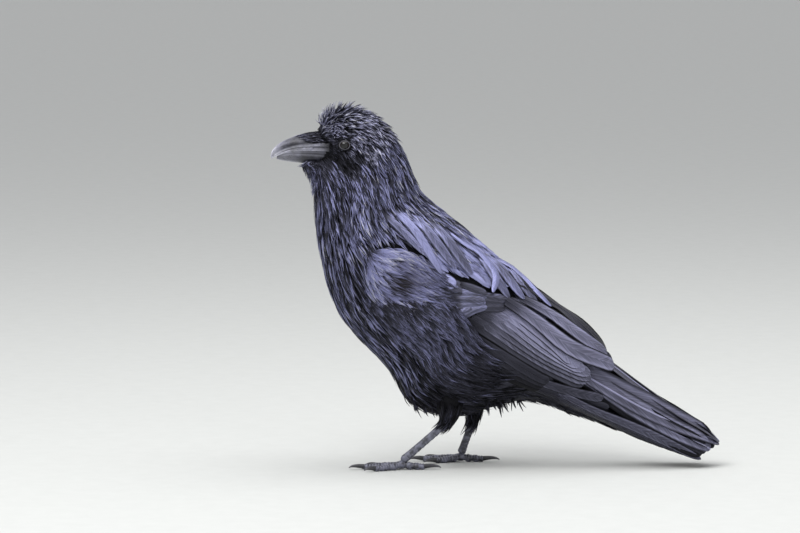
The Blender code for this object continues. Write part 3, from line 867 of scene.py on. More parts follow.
def lay(name, look, beds, **shape):
    """Joins beds of feathers into one piece."""
    joined = {key: np.concatenate([b[key] for b in beds]) for key in beds[0]}
    return dress(blades(name, **joined, **shape), look)


def near(y, z, centre, reach):
    """1 at a side-view point in millimetres, and 0 from reach on."""
    return 1 - step_between(np.hypot(y - centre[0], z - centre[1]), 0, reach)


def off_face(x, y, z):
    """Clear of the bill, and of the eye and its lids."""
    clear = np.hypot(y - EYE[0], (z - EYE[1]) * 1.15) > EYE_CLEARANCE
    return clear & (y > np.interp(z, *zip(*FACE_EDGE)))


def off_wing(x, y, z):
    return ~(inside(WING_OUTLINE, y, z) & (np.abs(x) > FOLDED_WING_DEPTH))


def over_gap(reach):
    """Keeps roots whose feathers, reaching so many millimetres, end above the wing's coverts."""
    def keep(x, y, z):
        return (z - 0.83 * reach > np.interp(y + 0.55 * reach, *zip(*GAP))) | (np.abs(x) < 14)
    return keep


def head_shade(x, y, z):
    """Dark before the eye and on the cheek, lighter behind the eye and over it."""
    light = 0.44 + 0.06 * near(y, z, (-140, 366), 34) + 0.2 * near(y, z, (-160, 384), 16)
    dark = 0.30 * near(y, z, (-182, 352), 15) + 0.42 * near(y, z, (-170, 342), 16)
    return np.maximum(0.16, 1.05 * (light - (dark + 0.2 * near(y, z, (-182, 380), 16))))


def on_face(found, side):
    """Puts the map places of feathers of the face's own small surfaces on the face of the body."""
    at = np.random.default_rng(35 + side).uniform(0, 1, (len(found["width"]), 2))
    found["map_at"] = body.map_place(0.04 + 0.06 * at[:, 0], 0.5 - side * (0.2 + 0.1 * at[:, 1]))
    return found


def lores(side):
    """Dark bristly feathers that close the hollow between the bill's root and the cheek."""

    def place(s, t):
        return np.stack([side * (14.6 + 9 * s), -185 + 14 * s, 328 + 43 * t], -1) * MM

    surface = Surface(place, 12, 12, body.box, turned=side < 0)
    found = bed(surface, (0.0, 0.8, 0.02, 0.98), (1.7, 1.1), 33 + side, (7, 0.45), (9, 5), 0.36,
                strands=(2, 0.7, 0.6), rows=5, lift=0.2)
    return on_face(found, side)


def orbit(label, side):
    """Short feathers that spread down the slope from an eye's lids to the cheek."""
    low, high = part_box(f"eye_{label}")
    middle = (low.x + high.x) / 2 / MM

    def place(s, t):
        radius, angle = 6.2 + 6.8 * s, 2 * math.pi * t
        out = middle + side * (4.6 - 6.0 * s)
        return np.stack([out, EYE[0] + radius * np.cos(angle), EYE[1] + radius * np.sin(angle)], -1) * MM

    surface = Surface(place, 12, 49, body.box, turned=side < 0, closed=True)
    found = bed(surface, (0.02, 0.75, 0.0, 1.0), (1.2, 1.1), 39 + side, (5, 0.4), (6, 4),
                lambda x, y, z: 0.8 * head_shade(x, y, z), strands=(2, 0.6, 0.6), rows=5, lift=0.0)
    return on_face(found, side)


def crest(angle, fall):
    """An angle in degrees that is full along the middle of the crown and less by fall at its sides."""
    return lambda x, y, z: angle - fall * step_between(np.abs(x), 7, 17)


def crown_shade(x, y, z):
    """Nearly black between the raised feathers over the eye: painted shade in the gaps under them."""
    return 0.5 - 0.44 * near(y, z, (-171, 384), 24)


def head_coat(look):
    face = {"rows": 5, "keep": off_face}
    lay("feathers_face", look, [
        bed(body, (0.5, 1.5, -0.5, 0.5), (2.0, 1.1), 11, (7, 0.42), (6, 2), head_shade, lift=-0.6, **face),
        bed(body, (1.5, 3.1, -0.33, 0.33), (2.2, 1.2), 12, (8, 0.45), (6, 2), head_shade, (0.35, 5),
            lift=-1.6, **face),
        bed(body, (3.1, 4.3, -0.36, 0.36), (4.0, 2.0), 13, (13, 0.42), (6, 2), head_shade, (0.3, 7),
            (4, 1.3, 0.4), lift=-1.8, **face),
        *(lores(side) for side in SIDES.values()),
        *(orbit(label, side) for label, side in SIDES.items()),
    ], outline=SHORT_LANCE)
    lay("feathers_crown", look, [
        bed(body, (1.0, 3.6, 0.28, 0.72), (2.4, 1.6), 19, (9, 0.5), (20, 14), crown_shade, lift=-1.8, **face),
        bed(body, (1.3, 2.1, 0.3, 0.7), (3.0, 2.2), 14, (14, 0.42), (crest(56, 30), crest(50, 34)), 1.0,
            (0.5, 6), (3, 0.8, 0.3), stray=9, tone_spread=0.8, **face),
        bed(body, (2.1, 3.2, 0.30, 0.70), (4.2, 3.6), 15, (14, 0.6), (crest(46, 30), crest(36, 28)), 1.1,
            (0.25, 8), (5, 1.2, 0.4), stray=10, tone_spread=0.8, rows=5),
        bed(body, (1.5, 2.9, 0.36, 0.64), (6.5, 4.5), 10, (16, 0.5), (70, 56), 1.3,
            strands=(5, 1.0, 0.3), stray=8, uneven=0.1, tone_spread=0.7, rows=5),
        bed(body, (3.2, 4.5, 0.31, 0.69), (4.2, 2.6), 16, (15, 0.45), (24, 14), 0.8,
            (0.35, 8), (5, 1.4, 0.4), stray=10, tone_spread=0.6, rows=5),
    ], outline=SHORT_LANCE)
    lay("feathers_brow", look, [
        bed(body, (1.6, 3.0, 0.2, 0.8), (2.8, 2.4), 28, (4.2, 0.95), (50, 36), 1.15, lift=1.2, rows=5,
            roll=0.5, keep=lambda x, y, z: near(y, z, (-177, 377), 15) > 0.55),
    ], outline=[0.5, 1.0, 1.0, 0.7, 0.0])


def on_bill(stations, up, y, angle):
    """A half bill's surface in millimetres at a distance y and an angle down from its ridge."""
    rows = np.array(stations[:5])
    middle = (rows[:, 0] + rows[:, 2]) / 2
    top, low, half = (np.interp(-y, -middle, rows[:, k]) for k in (1, 3, 4))
    ridge, flat = (top, low) if up > 0 else (low, top)
    height = flat + (ridge - flat) * np.maximum(0, np.cos(angle)) ** 0.8
    return np.stack([half * np.sin(angle), y, height], -1)


def bristles(name, look, stations, up, count, widest, starts, lengths, flare, shade, seed):
    """Stiff bristles that lie forward over the root of half of the bill, flare mm off it at their
    tips. widest is how far from the ridge they grow, in radians."""
    chance = np.random.default_rng(seed)
    angle = chance.uniform(-widest, widest, count)
    start = chance.uniform(*starts, count) - 4 * np.cos(angle)
    length = chance.uniform(*lengths, count) * (1 - 0.45 * np.abs(angle) / widest)
    share = np.linspace(0, 1, 7)[None]
    bend = angle[:, None] * (1 - 0.16 * share) + chance.normal(0, 0.05, (count, 1)) * share
    surface = on_bill(stations, up, start[:, None] - length[:, None] * share, bend)
    out = unit(np.stack([np.sin(bend), np.full(bend.shape, -0.12), up * (np.cos(bend) * 0.9 + 0.1)], -1))
    rise = 1.1 - 0.5 * np.abs(share - 0.3) + chance.uniform(0, 0.9, (count, 1)) * (1 - 0.5 * share)
    rise = rise + flare * share**2
    tone = np.clip(chance.normal(shade, 0.26, count), 0.03, 1.4)
    made = blades(
        name, (surface + out * rise[..., None]) * MM, out, 0.32, tone,
        body.map_place(np.full(count, 0.06), 0.5 * (up > 0) - up * angle / 8),
        outline=[0.9, 1, 0.95, 0.8, 0.6, 0.3, 0], thick=0.22, roll=chance.normal(0, 0.3, count),
        seed=seed + 1,
    )
    dress(made, look)


def neck_coat(look):
    lay("feathers_throat", look, [
        bed(body, (0.2, 2.4, -0.12, 0.12), (3.2, 2.4), 27, (15, 0.36), (24, 12), 1.0,
            strands=(3, 1.4, 0.4), stray=9, keep=off_face),
        bed(body, (0.0, 1.3, -0.14, 0.14), (2.2, 1.4), 21, (9, 0.5), (24, 20), 0.35, lift=-1, keep=off_face),
        bed(body, (0.5, 2.6, -0.16, 0.16), (5.0, 3.0), 20, (17, 0.55), (12, 14), 0.48, (0.3, 8),
            (4, 1.4, 0.8), sag=3, lift=-2, keep=off_face),
        bed(body, (2.6, 5.0, -0.24, 0.24), (7.0, 3.6), 22, (27, 0.68), (8, 7), 0.62, (0.35, 11),
            (4, 1.9, 0.8), sag=1.5),
    ])
    lay("feathers_nape", look, [
        bed(body, (4.2, 5.2, 0.22, 0.78), (6.0, 3.2), 23, (20, 0.66), (9, 5), 0.74, (0.3, 9), (4, 1.7, 0.8)),
        bed(body, (5.1, 6.2, 0.18, 0.82), (7.5, 4.0), 24, (26, 0.8), (7, 4), 0.88, (0.35, 11), (4, 2.2, 0.8)),
        bed(body, (6.1, 6.9, 0.18, 0.82), (8.5, 4.6), 25, (30, 0.95), (7, 3), 1.2, (0.35, 12), (4, 2.6, 0.8),
            keep=over_gap(19)),
        bed(body, (6.7, 7.6, 0.2, 0.8), (9.0, 5.0), 29, (32, 1.1), (7, 3), 1.2, (0.35, 12), (4, 2.8, 0.8),
            keep=over_gap(20)),
    ])
    lay("feathers_foreneck", look, [
        bed(body, (5.0, 6.2, -0.21, 0.21), (7.5, 4.0), 26, (28, 0.78), (7, 4), 0.78, (0.4, 12),
            (4, 2.1, 0.8)),
        bed(body, (6.2, 7.4, -0.23, 0.23), (8.5, 4.6), 27, (31, 0.88), (6, 4), 0.74, (0.4, 13), (4, 2.4, 0.8),
            keep=off_wing),
    ])


def flank_lift(x, y, z):
    return 1.6 - 3.4 * step_between(z, 176, 212)


def flank_shade(x, y, z):
    """Lighter up to the wing's bend, darker behind and in the hollow under the shoulder."""
    return (0.36 + 0.34 * step_between(z, 96, 160) + 0.2 * step_between(z, 195, 225)
            - 0.2 * step_between(y, -55, -20) - 0.5 * near(y, z, (-112, 212), 30))


def breast_coat(look, soft):
    lay("feathers_breast", look, [
        bed(body, (7.4, 8.6, -0.26, 0.26), (9.0, 5.0), 31, (31, 0.95), (5, 3), 0.6, (0.4, 14), (4, 2.6, 0.9),
            keep=off_wing),
        bed(body, (8.6, 9.7, -0.27, 0.27), (9.0, 5.2), 32, (31, 0.95), (5, 4), 0.46, (0.45, 14),
            (4, 2.7, 0.9), keep=off_wing, lift=-1.8),
    ])
    lay("feathers_belly", look, [
        bed(body, (9.7, 10.9, -0.30, 0.30), (8.5, 5.0), 33, (30, 0.7), (7, 5), 0.26, (0.5, 13), (4, 2.4, 0.9),
            keep=off_wing, lift=-1.5, sag=3),
        bed(body, (9.6, 10.9, -0.11, 0.11), (11, 8), 46, (20, 0.6), (20, 14), 0.22, (0.6, 9), (4, 1.3, 0.9),
            keep=off_wing),
        bed(rear, (0.72, 0.93, -0.16, 0.16), (12, 9), 47, (20, 0.6), (17, 12), 0.2, (0.6, 9), (4, 1.3, 0.9),
            keep=lambda x, y, z: y < 96),
        bed(rear, (0.72, 0.87, -0.30, 0.30), (8.5, 5.0), 34, (30, 0.7), (7, 4), 0.2, (0.5, 13), (4, 2.4, 0.9),
            keep=lambda x, y, z: y < 92, sag=3),
    ])
    lay("feathers_flank", soft, [
        bed(body, (7.0, 10.6, *t), (8.0, 4.2), seed, (34, 0.5), (4, 2), flank_shade, (0.2, 16), (7, 2.8, 0.7),
            lift=flank_lift, blotch=0.14, tone_spread=0.14, contrast=0.35,
            wear_and_highlight=lambda x, y, z: 0.6 * near(y, z, (-100, 210), 34), keep=lambda x, y, z: inside(FLANK, y, z))
        for t, seed in (((0.15, 0.42), 35), ((0.58, 0.85), 36))
    ])


def wet_locks(look):
    """Wet strands that hang from the belly and round the legs."""
    chance = np.random.default_rng(37)
    # The ends of the lines, in the side view, that they hang from, and how many hang there.
    spots = [((-94, 76), (-60, 58), 46), ((-40, 80), (-24, 68), 16), ((-18, 76), (28, 76), 38)]
    s = np.linspace(0, 1, 7)[:, None]
    paths, shade, at = [], [], []
    for (y0, z0), (y1, z1), many in spots:
        for _ in range(many):
            share = chance.uniform()
            x = chance.uniform(-34, 36)
            height = z0 + (z1 - z0) * share * 0.3 + chance.uniform(0, 10)
            root = np.array([x, y0 + (y1 - y0) * share, height])
            length = chance.uniform(7, 22)
            swing = np.array([chance.normal(0, 3), chance.uniform(-1, 9), 0])
            line = root + swing * s**1.6 + np.array([0, 0, -length]) * s
            for _ in range(4):
                off = chance.normal(0, 1.0, 3) * np.array([1, 1, 0.6])
                paths.append(line + off * (1 - s) ** 0.8 + chance.normal(0, 0.25, 3) * s)
                shade.append(chance.uniform(0.12, 0.4))
                at.append((0.62 + 0.1 * share, 0.02 if x > 0 else 0.98))
    paths = np.array(paths) * MM
    normals = np.zeros_like(paths)
    normals[..., 0] = np.where(paths[:, :1, 0] > 0, 1, -1)
    made = blades("locks_belly", paths, normals, 0.7, np.array(shade), body.map_place(*np.array(at).T),
                  thick=0.4, roll=chance.normal(0, 0.5, len(paths)), seed=38)
    dress(made, look)


def leg_coat(look):
    beds = []
    for k, label in enumerate(SIDES):
        leg = thighs[label]
        beds += [
            bed(leg, (0.32, 0.69, 0.0, 1.0), (6.0, 3.8), 41 + k, (20, 0.55), (6, 5), 0.24, (0.4, 10),
                (4, 1.8, 0.5), rows=6, lift=-1.6),
            bed(leg, (0.48, 0.74, 0.0, 1.0), (7.0, 5.0), 48 + k, (19, 0.45), (9, 8), 0.3, (0.6, 8),
                (4, 1.2, 0.4), rows=6, lift=-0.6),
        ]
    lay("feathers_legs", look, beds, outline=[0.5, 0.9, 1.0, 0.75, 0.4, 0.0])


VANED = {"shares": ROUNDED_AT, "section": VANE, "sharp": 60}


def back_coat(look):
    lay("feathers_under_tail", look, [
        bed(rear, (0.80, 0.96, -0.24, 0.24), (8, 5.0), 45, (42, 4.2), (5, 2), 0.2, rows=ROUNDED_AT,
            thick=0.25),
    ], outline=POINTED, camber=0.8, ragged=0.22, **VANED)
    even = {"rows": ROUNDED_AT, "tone_spread": 0.16, "blotch": 0.15, "stray": 5, "uneven": 0.12}
    lay("feathers_back", look, [
        bed(body, (6.9, 8.0, 0.22, 0.78), (9, 6.0), 51, (34, 3.6), (5, 3), 0.95, roll=0.16, lift=-1.6,
            keep=over_gap(21), **even),
        bed(body, (7.7, 9.6, 0.24, 0.76), (12, 8.0), 52, (40, 5.6), (4.5, 2), 0.85, roll=0.10, lift=-1.4,
            keep=over_gap(27), **even),
        # The rump between the wings darkens towards the tail and beyond it: painted shade.
        bed(body, (9.0, 11.4, 0.34, 0.66), (15, 10.0), 53, (48, 8.0), (4, 2),
            lambda x, y, z: 0.62 - 0.48 * step_between(y, 12, 44), roll=0.08, **even),
        bed(body, (10.7, 11.7, 0.14, 0.86), (14, 9.0), 54, (38, 8.0), (2, 0), 0.24, roll=0.08, lift=-2.0,
            **even),
    ], outline=POINTED, camber=1.1, ragged=0.06, **VANED)


def covert_shade(x, y, z):
    """Lightest on the shoulder, reaching the pale painted highlight, dark and dull in the hollow below it.
    Painted shade darkens the covert tips that face up into the light and those that peek out under the
    scapulars.
    """
    return (1.85 - 1.6 * near(y, z, (-117, 214), 28) - 1.3 * step_between(y, -112, -60)
            - 0.2 * near(y, z, (-66, 205), 20) - 0.18 * step_between(y, -40, -22)
            - 0.5 * near(y, z, (-48, 213), 16))


def wing_coat(look, soft):
    beds, veil = [], []
    even = {"rows": ROUNDED_AT, "roll": 0.05, "tone_spread": 0.10, "blotch": 0.12, "stray": 5, "uneven": 0.12}
    for k, label in enumerate(SIDES):
        wing = coverts[label]
        veil.append(bed(
            wing, (0.0, 0.56, 0.0, 1.0), (6.0, 4.0), 61 + k, (28, 0.5), (4, 2), covert_shade, (0.2, 12),
            (7, 2.6, 0.6), lift=-0.6, blotch=0.12, tone_spread=0.12, contrast=0.35,
            wear_and_highlight=lambda x, y, z: 0.6 * near(y, z, (-108, 220), 34),
            keep=lambda x, y, z: z < np.interp(y, *zip(*GAP)) - 1,
        ))
        beds += [
            bed(wing, (0.42, 0.66, 0.02, 0.98), (12.0, 9.0), 63 + k, (30, 7.0), (5, 2), covert_shade,
                lift=-2.0, **even),
            bed(wing, (0.62, 0.84, 0.02, 0.98), (16.0, 9.0), 65 + k, (36, 6.4), (5, 2), covert_shade,
                lift=-0.6, keep=lambda x, y, z: y < 12, **even),
        ]
    lay("feathers_wing_coverts", look, beds, outline=ROUNDED, camber=1.2, ragged=0.10, **VANED)
    lay("feathers_wing_shoulder", soft, veil)


# ---- flight feathers ----

# Places of a quill feather's rows along it, closest together at the tip.
QUILL_ROWS = [0, 0.06, 0.13, 0.2, 0.28, 0.36, 0.44, 0.52, 0.6, 0.67, 0.74, 0.8, 0.85, 0.89, 0.925, 0.953,
              0.975, 0.99, 1.0]
CLEAR_LAYER = 3.35  # lift from which secondaries and tertials stay clear of the others from the root on


def quilled(name, feathers, look, slot, blunt, **shape):
    """One piece of single feathers: each has its path, normals, half width, shade and map place.
    They widen slowly from the root and are round over the last blunt share of their length."""
    paths, normals, width, shade, map_at = (np.array(v) for v in zip(*feathers))
    share = np.array(QUILL_ROWS)
    past = np.clip((share - (1 - blunt)) / blunt, 0, 1)
    outline = (0.62 + 0.38 * np.minimum(1, share * 2.2)) * np.sqrt(np.maximum(0, 1 - past**2.2))
    made = blades(name, paths, normals, width, shade, map_at, section=QUILLED, outline=outline,
                  shares=QUILL_ROWS, ragged=0.05, sharp=60, **shape)
    return dress(made, look)


def side_line(line, lift, side, clear_layer):
    """The path over the body's side of a line of side-view points, its normals and map place."""
    y, z = curve_columns(line, np.array(QUILL_ROWS) * (len(line) - 1))
    s, t = on_body(y, z, side).T
    point, normal, _, _ = body.read(s, t)
    if lift < clear_layer:
        rise = np.interp(QUILL_ROWS, [0, 0.35, 1], [min(lift - 1.6, -2.5), lift, lift + 0.2])
    else:
        rise = np.interp(QUILL_ROWS, [0, 0.15, 1], [lift - 2.4, lift, lift + 0.2])
    return point + normal * rise[:, None] * MM, normal, body.map_place(s[0], t[0])


def fan(first, last, count, lifts, widths, shades):
    """Feathers spread evenly between two side-view lines: each has its line, its height over the
    body, its half width and its shade."""
    made = []
    for k in range(count):
        share = k / (count - 1)
        line = [tuple(p + (q - p) * share for p, q in zip(a, b)) for a, b in zip(first, last)]
        made.append((line, *(a + (b - a) * share for a, b in (lifts, widths, shades))))
    return made


# Side-view lines of the shafts from root to tip.
TERTIALS = [
    ([(11, 190), (42, 167.5), (79, 139), (114, 121), (130.5, 113)], 5.4, 10.5, 0.78),
    ([(28, 192), (62, 171), (93, 149), (123, 127)], 4.3, 9.0, 0.56),
    # the innermost, nearly black, is painted shade along the back between the wings
    ([(14, 216), (58, 186), (93, 160.5), (123, 129.5)], 3.4, 10.0, 0.2),
]
SECONDARIES = [
    *fan([(0.6, 192), (30, 169), (63, 143), (87, 121)], [(-15, 181), (20, 157), (59, 130), (106, 107)],
         4, (3.3, 2.4), (8.0, 8.5), (0.72, 0.64)),
    *fan([(-20, 177), (17, 152), (58, 126), (107, 102)], [(-31, 170), (11, 144), (55, 117), (99, 95)],
         3, (2.0, 1.2), (8.5, 8.0), (0.56, 0.30)),
]
PRIMARIES = [
    *fan([(-27, 155), (12, 128), (45, 107), (60, 100)], [(-47, 152), (-8, 120), (30, 98), (50, 90)],
         4, (1.9, 0.9), (6.8, 5.8), (0.23, 0.11)),
    *fan([(-5, 128), (50, 100), (90, 87), (121, 80)], [(-8, 120), (45, 92), (88, 78), (128, 70)],
         2, (1.4, 0.9), (6.5, 6.5), (0.38, 0.28)),
    *fan([(20, 112), (101, 72.5), (168, 43.5), (232, 12)], [(10, 100), (70, 76), (125, 52), (172, 31)],
         6, (3.2, 0.6), (6.4, 5.4), (0.46, 0.20)),
]
SCAPULARS = [
    ([(-125, 290), (-100, 266), (-76, 241)], 2.2, 5.0, 0.62),
    ([(-114, 296), (-86, 264), (-60, 221)], 3.0, 5.4, 0.70),
    ([(-94, 292), (-68, 259), (-44, 226)], 2.6, 6.5, 0.68),
    ([(-76, 286), (-50, 253), (-27, 219)], 3.0, 7.0, 0.66),
    ([(-52, 270), (-20, 243), (-1, 219), (-4, 199)], 3.8, 5.6, 0.86),
    ([(-27, 253), (-6, 224), (15, 192)], 2.8, 7.5, 0.66),
    ([(-16, 247), (8, 220), (31, 190)], 3.4, 8.0, 0.66),
    ([(6, 234), (26, 210), (46, 184)], 3.0, 8.0, 0.7),
    ([(-5, 242), (28, 213), (61, 179)], 4.2, 7.0, 0.80),
]
# Tail feathers of one side from the top: how far round the arch the shaft is at its root and at
# its tip, its height over the arch, the half width and the shade.
TAIL_SHAFTS = [
    (0.10, 0.02, 3.8, 14, 0.38),
    (0.47, 0.05, 2.6, 16, 0.52),
    (0.49, 0.28, 1.5, 12, 0.50),
    # these two, lying lowest, are nearly black: painted shade under the feathers above
    (0.49, 0.36, 0.8, 11, 0.12),
    (0.49, 0.42, 0.2, 10, 0.10),
    (0.28, 0.14, -0.6, 15, 0.22),
]
INNER_VANE = 0.34  # share by which the vane nearer the middle is wider


def quills(name, rows, look, blunt, camber, slot="flight_feathers", replaced=None, clear_layer=10.0):
    """Single feathers of both wings, as one piece for each side. Those that lift clear_layer or
    more are clear of the others from the root on."""
    for label, side in SIDES.items():
        tones = np.random.default_rng(len(rows) + 2 + side).uniform(0.82, 1.18, len(rows))
        feathers = []
        for (line, lift, width, shade), tone in zip(rows, tones):
            path, normals, place = side_line(line, lift, side, clear_layer)
            feathers.append((path, normals, width, shade * tone, place))
        made = quilled(f"{name}_{label}", feathers, look, slot, blunt, thick=0.35, camber=camber, seed=7)
        if replaced:
            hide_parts(f"{replaced}_{label}")


def tail_feathers(look):
    """Six pairs of tail feathers, the middle pair on top."""
    feathers, lean = [], []
    chance = np.random.default_rng(5)
    shares = np.array(QUILL_ROWS)
    for root, tip, lift, width, shade in TAIL_SHAFTS:
        for side in SIDES.values():
            t = 0.5 + side * (root + (tip - root) * shares**1.5)
            reach = 1 - 0.15 * (2 * tip) ** 1.3 - chance.uniform(0, 0.012)
            point, normal, _, _ = tail_arch.read(shares * reach, t)
            path = point + normal * (lift + (0.25 if side > 0 else 0)) * MM
            tone = shade + chance.uniform(-0.04, 0.04)
            feathers.append((path, normal, width, tone, tail_arch.map_place(0.0, t[0])))
            lean.append(side * INNER_VANE * (tip < 0.4 < root))
    made = quilled("tail_feathers", feathers, look, "flight_feathers", 0.22, thick=0.4, camber=0.5, seed=8,
                   lean=np.array(lean))
    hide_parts("tail")


# ---- bill, eyes, legs ----


def around(count):
    """Angles evenly round a ring."""
    return np.linspace(0, 2 * math.pi, count, endpoint=False)[None]


def tube(centre, aside, up, wide, tall):
    """Rings of points round a centre line, wide and tall in the two directions across it."""
    return centre + aside * wide[..., None] + up * tall[..., None]


def loft_piece(rings, values):
    """Points, quads, triangles and values of a closed tube through rings of points. Where the last
    ring is the first one again, the tube is a hoop without ends."""
    rows, ring = rings.shape[:2]
    quads, j, after = tube_faces(rows, ring)
    if np.allclose(rings[0], rings[-1]):
        quads = quads % ((rows - 1) * ring)
        return rings[:-1].reshape(-1, 3), quads, quads[:0, :3], values[:-1].reshape(-1)
    ends = rows * ring
    last = ends - ring
    caps = np.concatenate([
        np.stack([np.full(ring, ends), after, j], -1),
        np.stack([np.full(ring, ends + 1), last + j, last + after], -1),
    ])
    points = np.concatenate([rings.reshape(-1, 3), [rings[0].mean(0), rings[-1].mean(0)]])
    return points, quads, caps, np.concatenate([values.reshape(-1), [0, 0]])


def solid_piece(name, lofts, look, replaced, sharp=45):
    """Several lofts, each with its wear and, on the bill, its painted highlights, as one object with faces
    turned outwards.
    """
    made = [loft_piece(rings, wear_and_highlight) for rings, wear_and_highlight in lofts]
    starts = np.cumsum([0] + [len(points) for points, *_ in made])
    points, wear_and_highlight = (np.concatenate([loft[k] for loft in made]) for k in (0, 3))
    quads, triangles = (
        np.concatenate([loft[k] + start for loft, start in zip(made, starts)]) for k in (1, 2)
    )
    piece = mesh_piece(name, points * MM, quads, triangles, {"wear_and_highlight": wear_and_highlight}, sharp)
    shape = bmesh.new()
    shape.from_mesh(piece.data)
    bmesh.ops.recalc_face_normals(shape, faces=shape.faces)
    shape.to_mesh(piece.data)
    shape.free()
    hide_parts(*replaced)
    return dress(piece, look)


def bell(x, middle, width):
    """1 at middle and smoothly less away from it."""
    return np.exp(-(((x - middle) / width) ** 2))


EYE_RING, LID_RING = 48, 72  # points round the eyeball and the lids
LOWER_BILL_HIGHLIGHT = 0.4  # share of the upper half's painted highlight that the lower half gets, less for it faces away from the light: painted shade


def bill_rings(stations, upper, rows=64, points=41):
    """One half of the bill, with its ridge, its biting edge and the lines along its side."""
    tip = len(stations) - 1
    u = np.linspace(0, tip, rows)
    top_y, top_z, low_y, low_z, half = curve_columns(stations, u)
    if upper:
        low_z = low_z - 1.1 * (1 - step_between(u, tip - 1.6, tip - 0.2)) * step_between(u, 0, 1)
        half = half * (1.05 - 0.05 * step_between(u, 0, 2))
    else:
        half = half * (1.10 - 0.15 * step_between(u, 0, 2))
        top_z = top_z + 0.9 * step_between(u, tip - 3, tip)
    top = np.stack([np.zeros(rows), top_y, top_z], -1)
    low = np.stack([np.zeros(rows), low_y, low_z], -1)
    ridge, flat = (top, low) if upper else (low, top)
    angle = np.linspace(-math.pi / 2, math.pi / 2, points)
    lift = np.maximum(0, np.cos(angle)) ** 0.8  # height of the ring's points, as a share
    fade = 1 - step_between(u, tip - 2.2, tip - 0.6)
    lip = 0.55 * bell(lift, 0.10, 0.07)
    line = -0.5 * bell(lift, 0.24, 0.045) + 0.4 * bell(lift, 0.34, 0.05)
    relief = lip + line if upper else 0.7 * lip + 0.5 * line
    keel = 0.35 * bell(angle, 0, 0.16)
    rise = np.linalg.norm(ridge - flat, axis=1)[:, None] * lift + keel * fade[:, None]
    rings = flat[:, None] + unit(ridge - flat)[:, None] * rise[..., None]
    rings[..., 0] += half[:, None] * np.sin(angle)
    rings[..., 0] += np.sign(angle) * (fade * np.minimum(1, half / 6))[:, None] * relief
    # Painted highlights: the tip, the top of the ridge and the lines along the biting edge and the side are
    # lighter.
    tip_highlight = step_between(u, tip - 3.6, tip - 1.2)[:, None]
    edge_highlights = bell(lift, 0.06, 0.07) + 0.7 * bell(lift, 0.34, 0.05)
    top_highlight = bell(angle, 0, 0.5)
    wear_and_highlight = np.clip(tip_highlight * (0.35 + 0.6 * top_highlight) + edge_highlights * 0.55 + 0.2 * top_highlight, 0, 1)
    shown = 1 if upper else LOWER_BILL_HIGHLIGHT
    return rings, shown * wear_and_highlight * step_between(u, 0, 1.4)[:, None]


def make_bill():
    horn = horn_look("bill_horn", (0.011, 0.011, 0.017), (0.20, 0.20, 0.30), (900.0, 130.0, 700.0))
    for half, stations in (("upper", UPPER_BILL), ("lower", LOWER_BILL)):
        rings = bill_rings(stations, half == "upper")
        solid_piece(f"bill_{half}_half", [rings], horn, [f"bill_{half}"])


def eye_look():
    look = Look("eye_brown", 0.18, specular=0.15)
    look.shader.inputs["Coat Weight"].default_value = 0.7
    look.shader.inputs["Coat Roughness"].default_value = 0.02
    reach = look.value("reach")
    streaks = look.noise(look.place(), 1400.0, 2.0)
    iris = look.mix(look.between(streaks, 0.35, 0.65), (0.010, 0.005, 0.003), (0.026, 0.012, 0.006))
    colour = look.mix(look.between(reach, 0.20, 0.235), (0.001, 0.001, 0.001), iris)
    colour = look.mix(look.between(reach, 0.40, 0.50), colour, (0.006, 0.005, 0.005))
    return look.done(colour)


def lid_look():
    look = Look("eyelid_skin", 0.6, specular=0.2)
    folds = look.noise(look.place(), 1300.0)
    colour = look.mix(look.between(folds, 0.3, 0.7), (0.008, 0.008, 0.010), (0.022, 0.022, 0.027))
    colour = look.mix(look.value("wear_and_highlight"), colour, (0.12, 0.12, 0.14))
    return look.done(colour, None, look.bump(folds, 0.0003, 0.8))


# The lids' section from the rim outwards: radius, place outwards and wear.
LID = [
    (4.7, 4.75, 0.5), (4.85, 5.1, 0.9), (5.1, 5.3, 1), (5.4, 5.2, 0.6), (5.7, 4.6, 0.1), (6.2, 4.1, 0.05),
    (6.8, 3.3, 0), (7.6, 2.2, 0), (8.6, 0.8, 0), (8.6, -0.4, 0), (6.0, 1.0, 0), (4.7, 4.75, 0.5),
]


def turned_rings(radius, out, centre, side, count, stretch=(1, 1), wobble=0.0):
    """Rings round an axis along X, from the radius and the place outwards of each."""
    angle = around(count)
    radius, out = (np.asarray(v, float)[:, None] for v in (radius, out))
    crease = wobble * (0.6 * np.sin(9 * angle + out) + 0.4 * np.sin(23 * angle + 3 * radius))
    ring = [side * (out + crease), np.cos(angle) * radius * stretch[0], np.sin(angle) * radius * stretch[1]]
    return centre + np.stack(ring, -1)


def make_eyes():
    gloss, bare = eye_look(), lid_look()
    polar = np.linspace(0.02, math.pi - 0.02, 40)
    radius = EYE_RADIUS + 0.55 * bell(polar, 0, 0.5)  # with the cornea's bulge
    for label, side in SIDES.items():
        centre = np.array(sum(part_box(f"eye_{label}"), Vector()) / 2) / MM
        rings = turned_rings(radius * np.sin(polar), radius * np.cos(polar), centre, side, EYE_RING)
        eye = [(rings, np.zeros(rings.shape[:2]))]
        ball = solid_piece(f"eyeball_{label}", eye, gloss, [f"eye_{label}"], 80)
        reach = np.concatenate([np.repeat(polar / math.pi, EYE_RING), [0, 1]])
        stored = ball.data.attributes.new("reach", "FLOAT", "POINT")
        stored.data.foreach_set("value", reach.astype(np.float32))
        rim, out, wear_and_highlight = np.array(LID).T
        rings = turned_rings(rim, out, centre, side, LID_RING, (1.10, 0.92), 0.07)
        lids = [(rings, np.repeat(wear_and_highlight[:, None], LID_RING, 1))]
        solid_piece(f"eyelids_{label}", lids, bare, [], 60)


def scutes(along, count, height):
    """Overlapping scales down a leg: each rises slowly and drops to the next."""
    share = (along * count) % 1.0
    return height * (share - 0.5) - height * 1.4 * step_between(share, 0.86, 1.0)


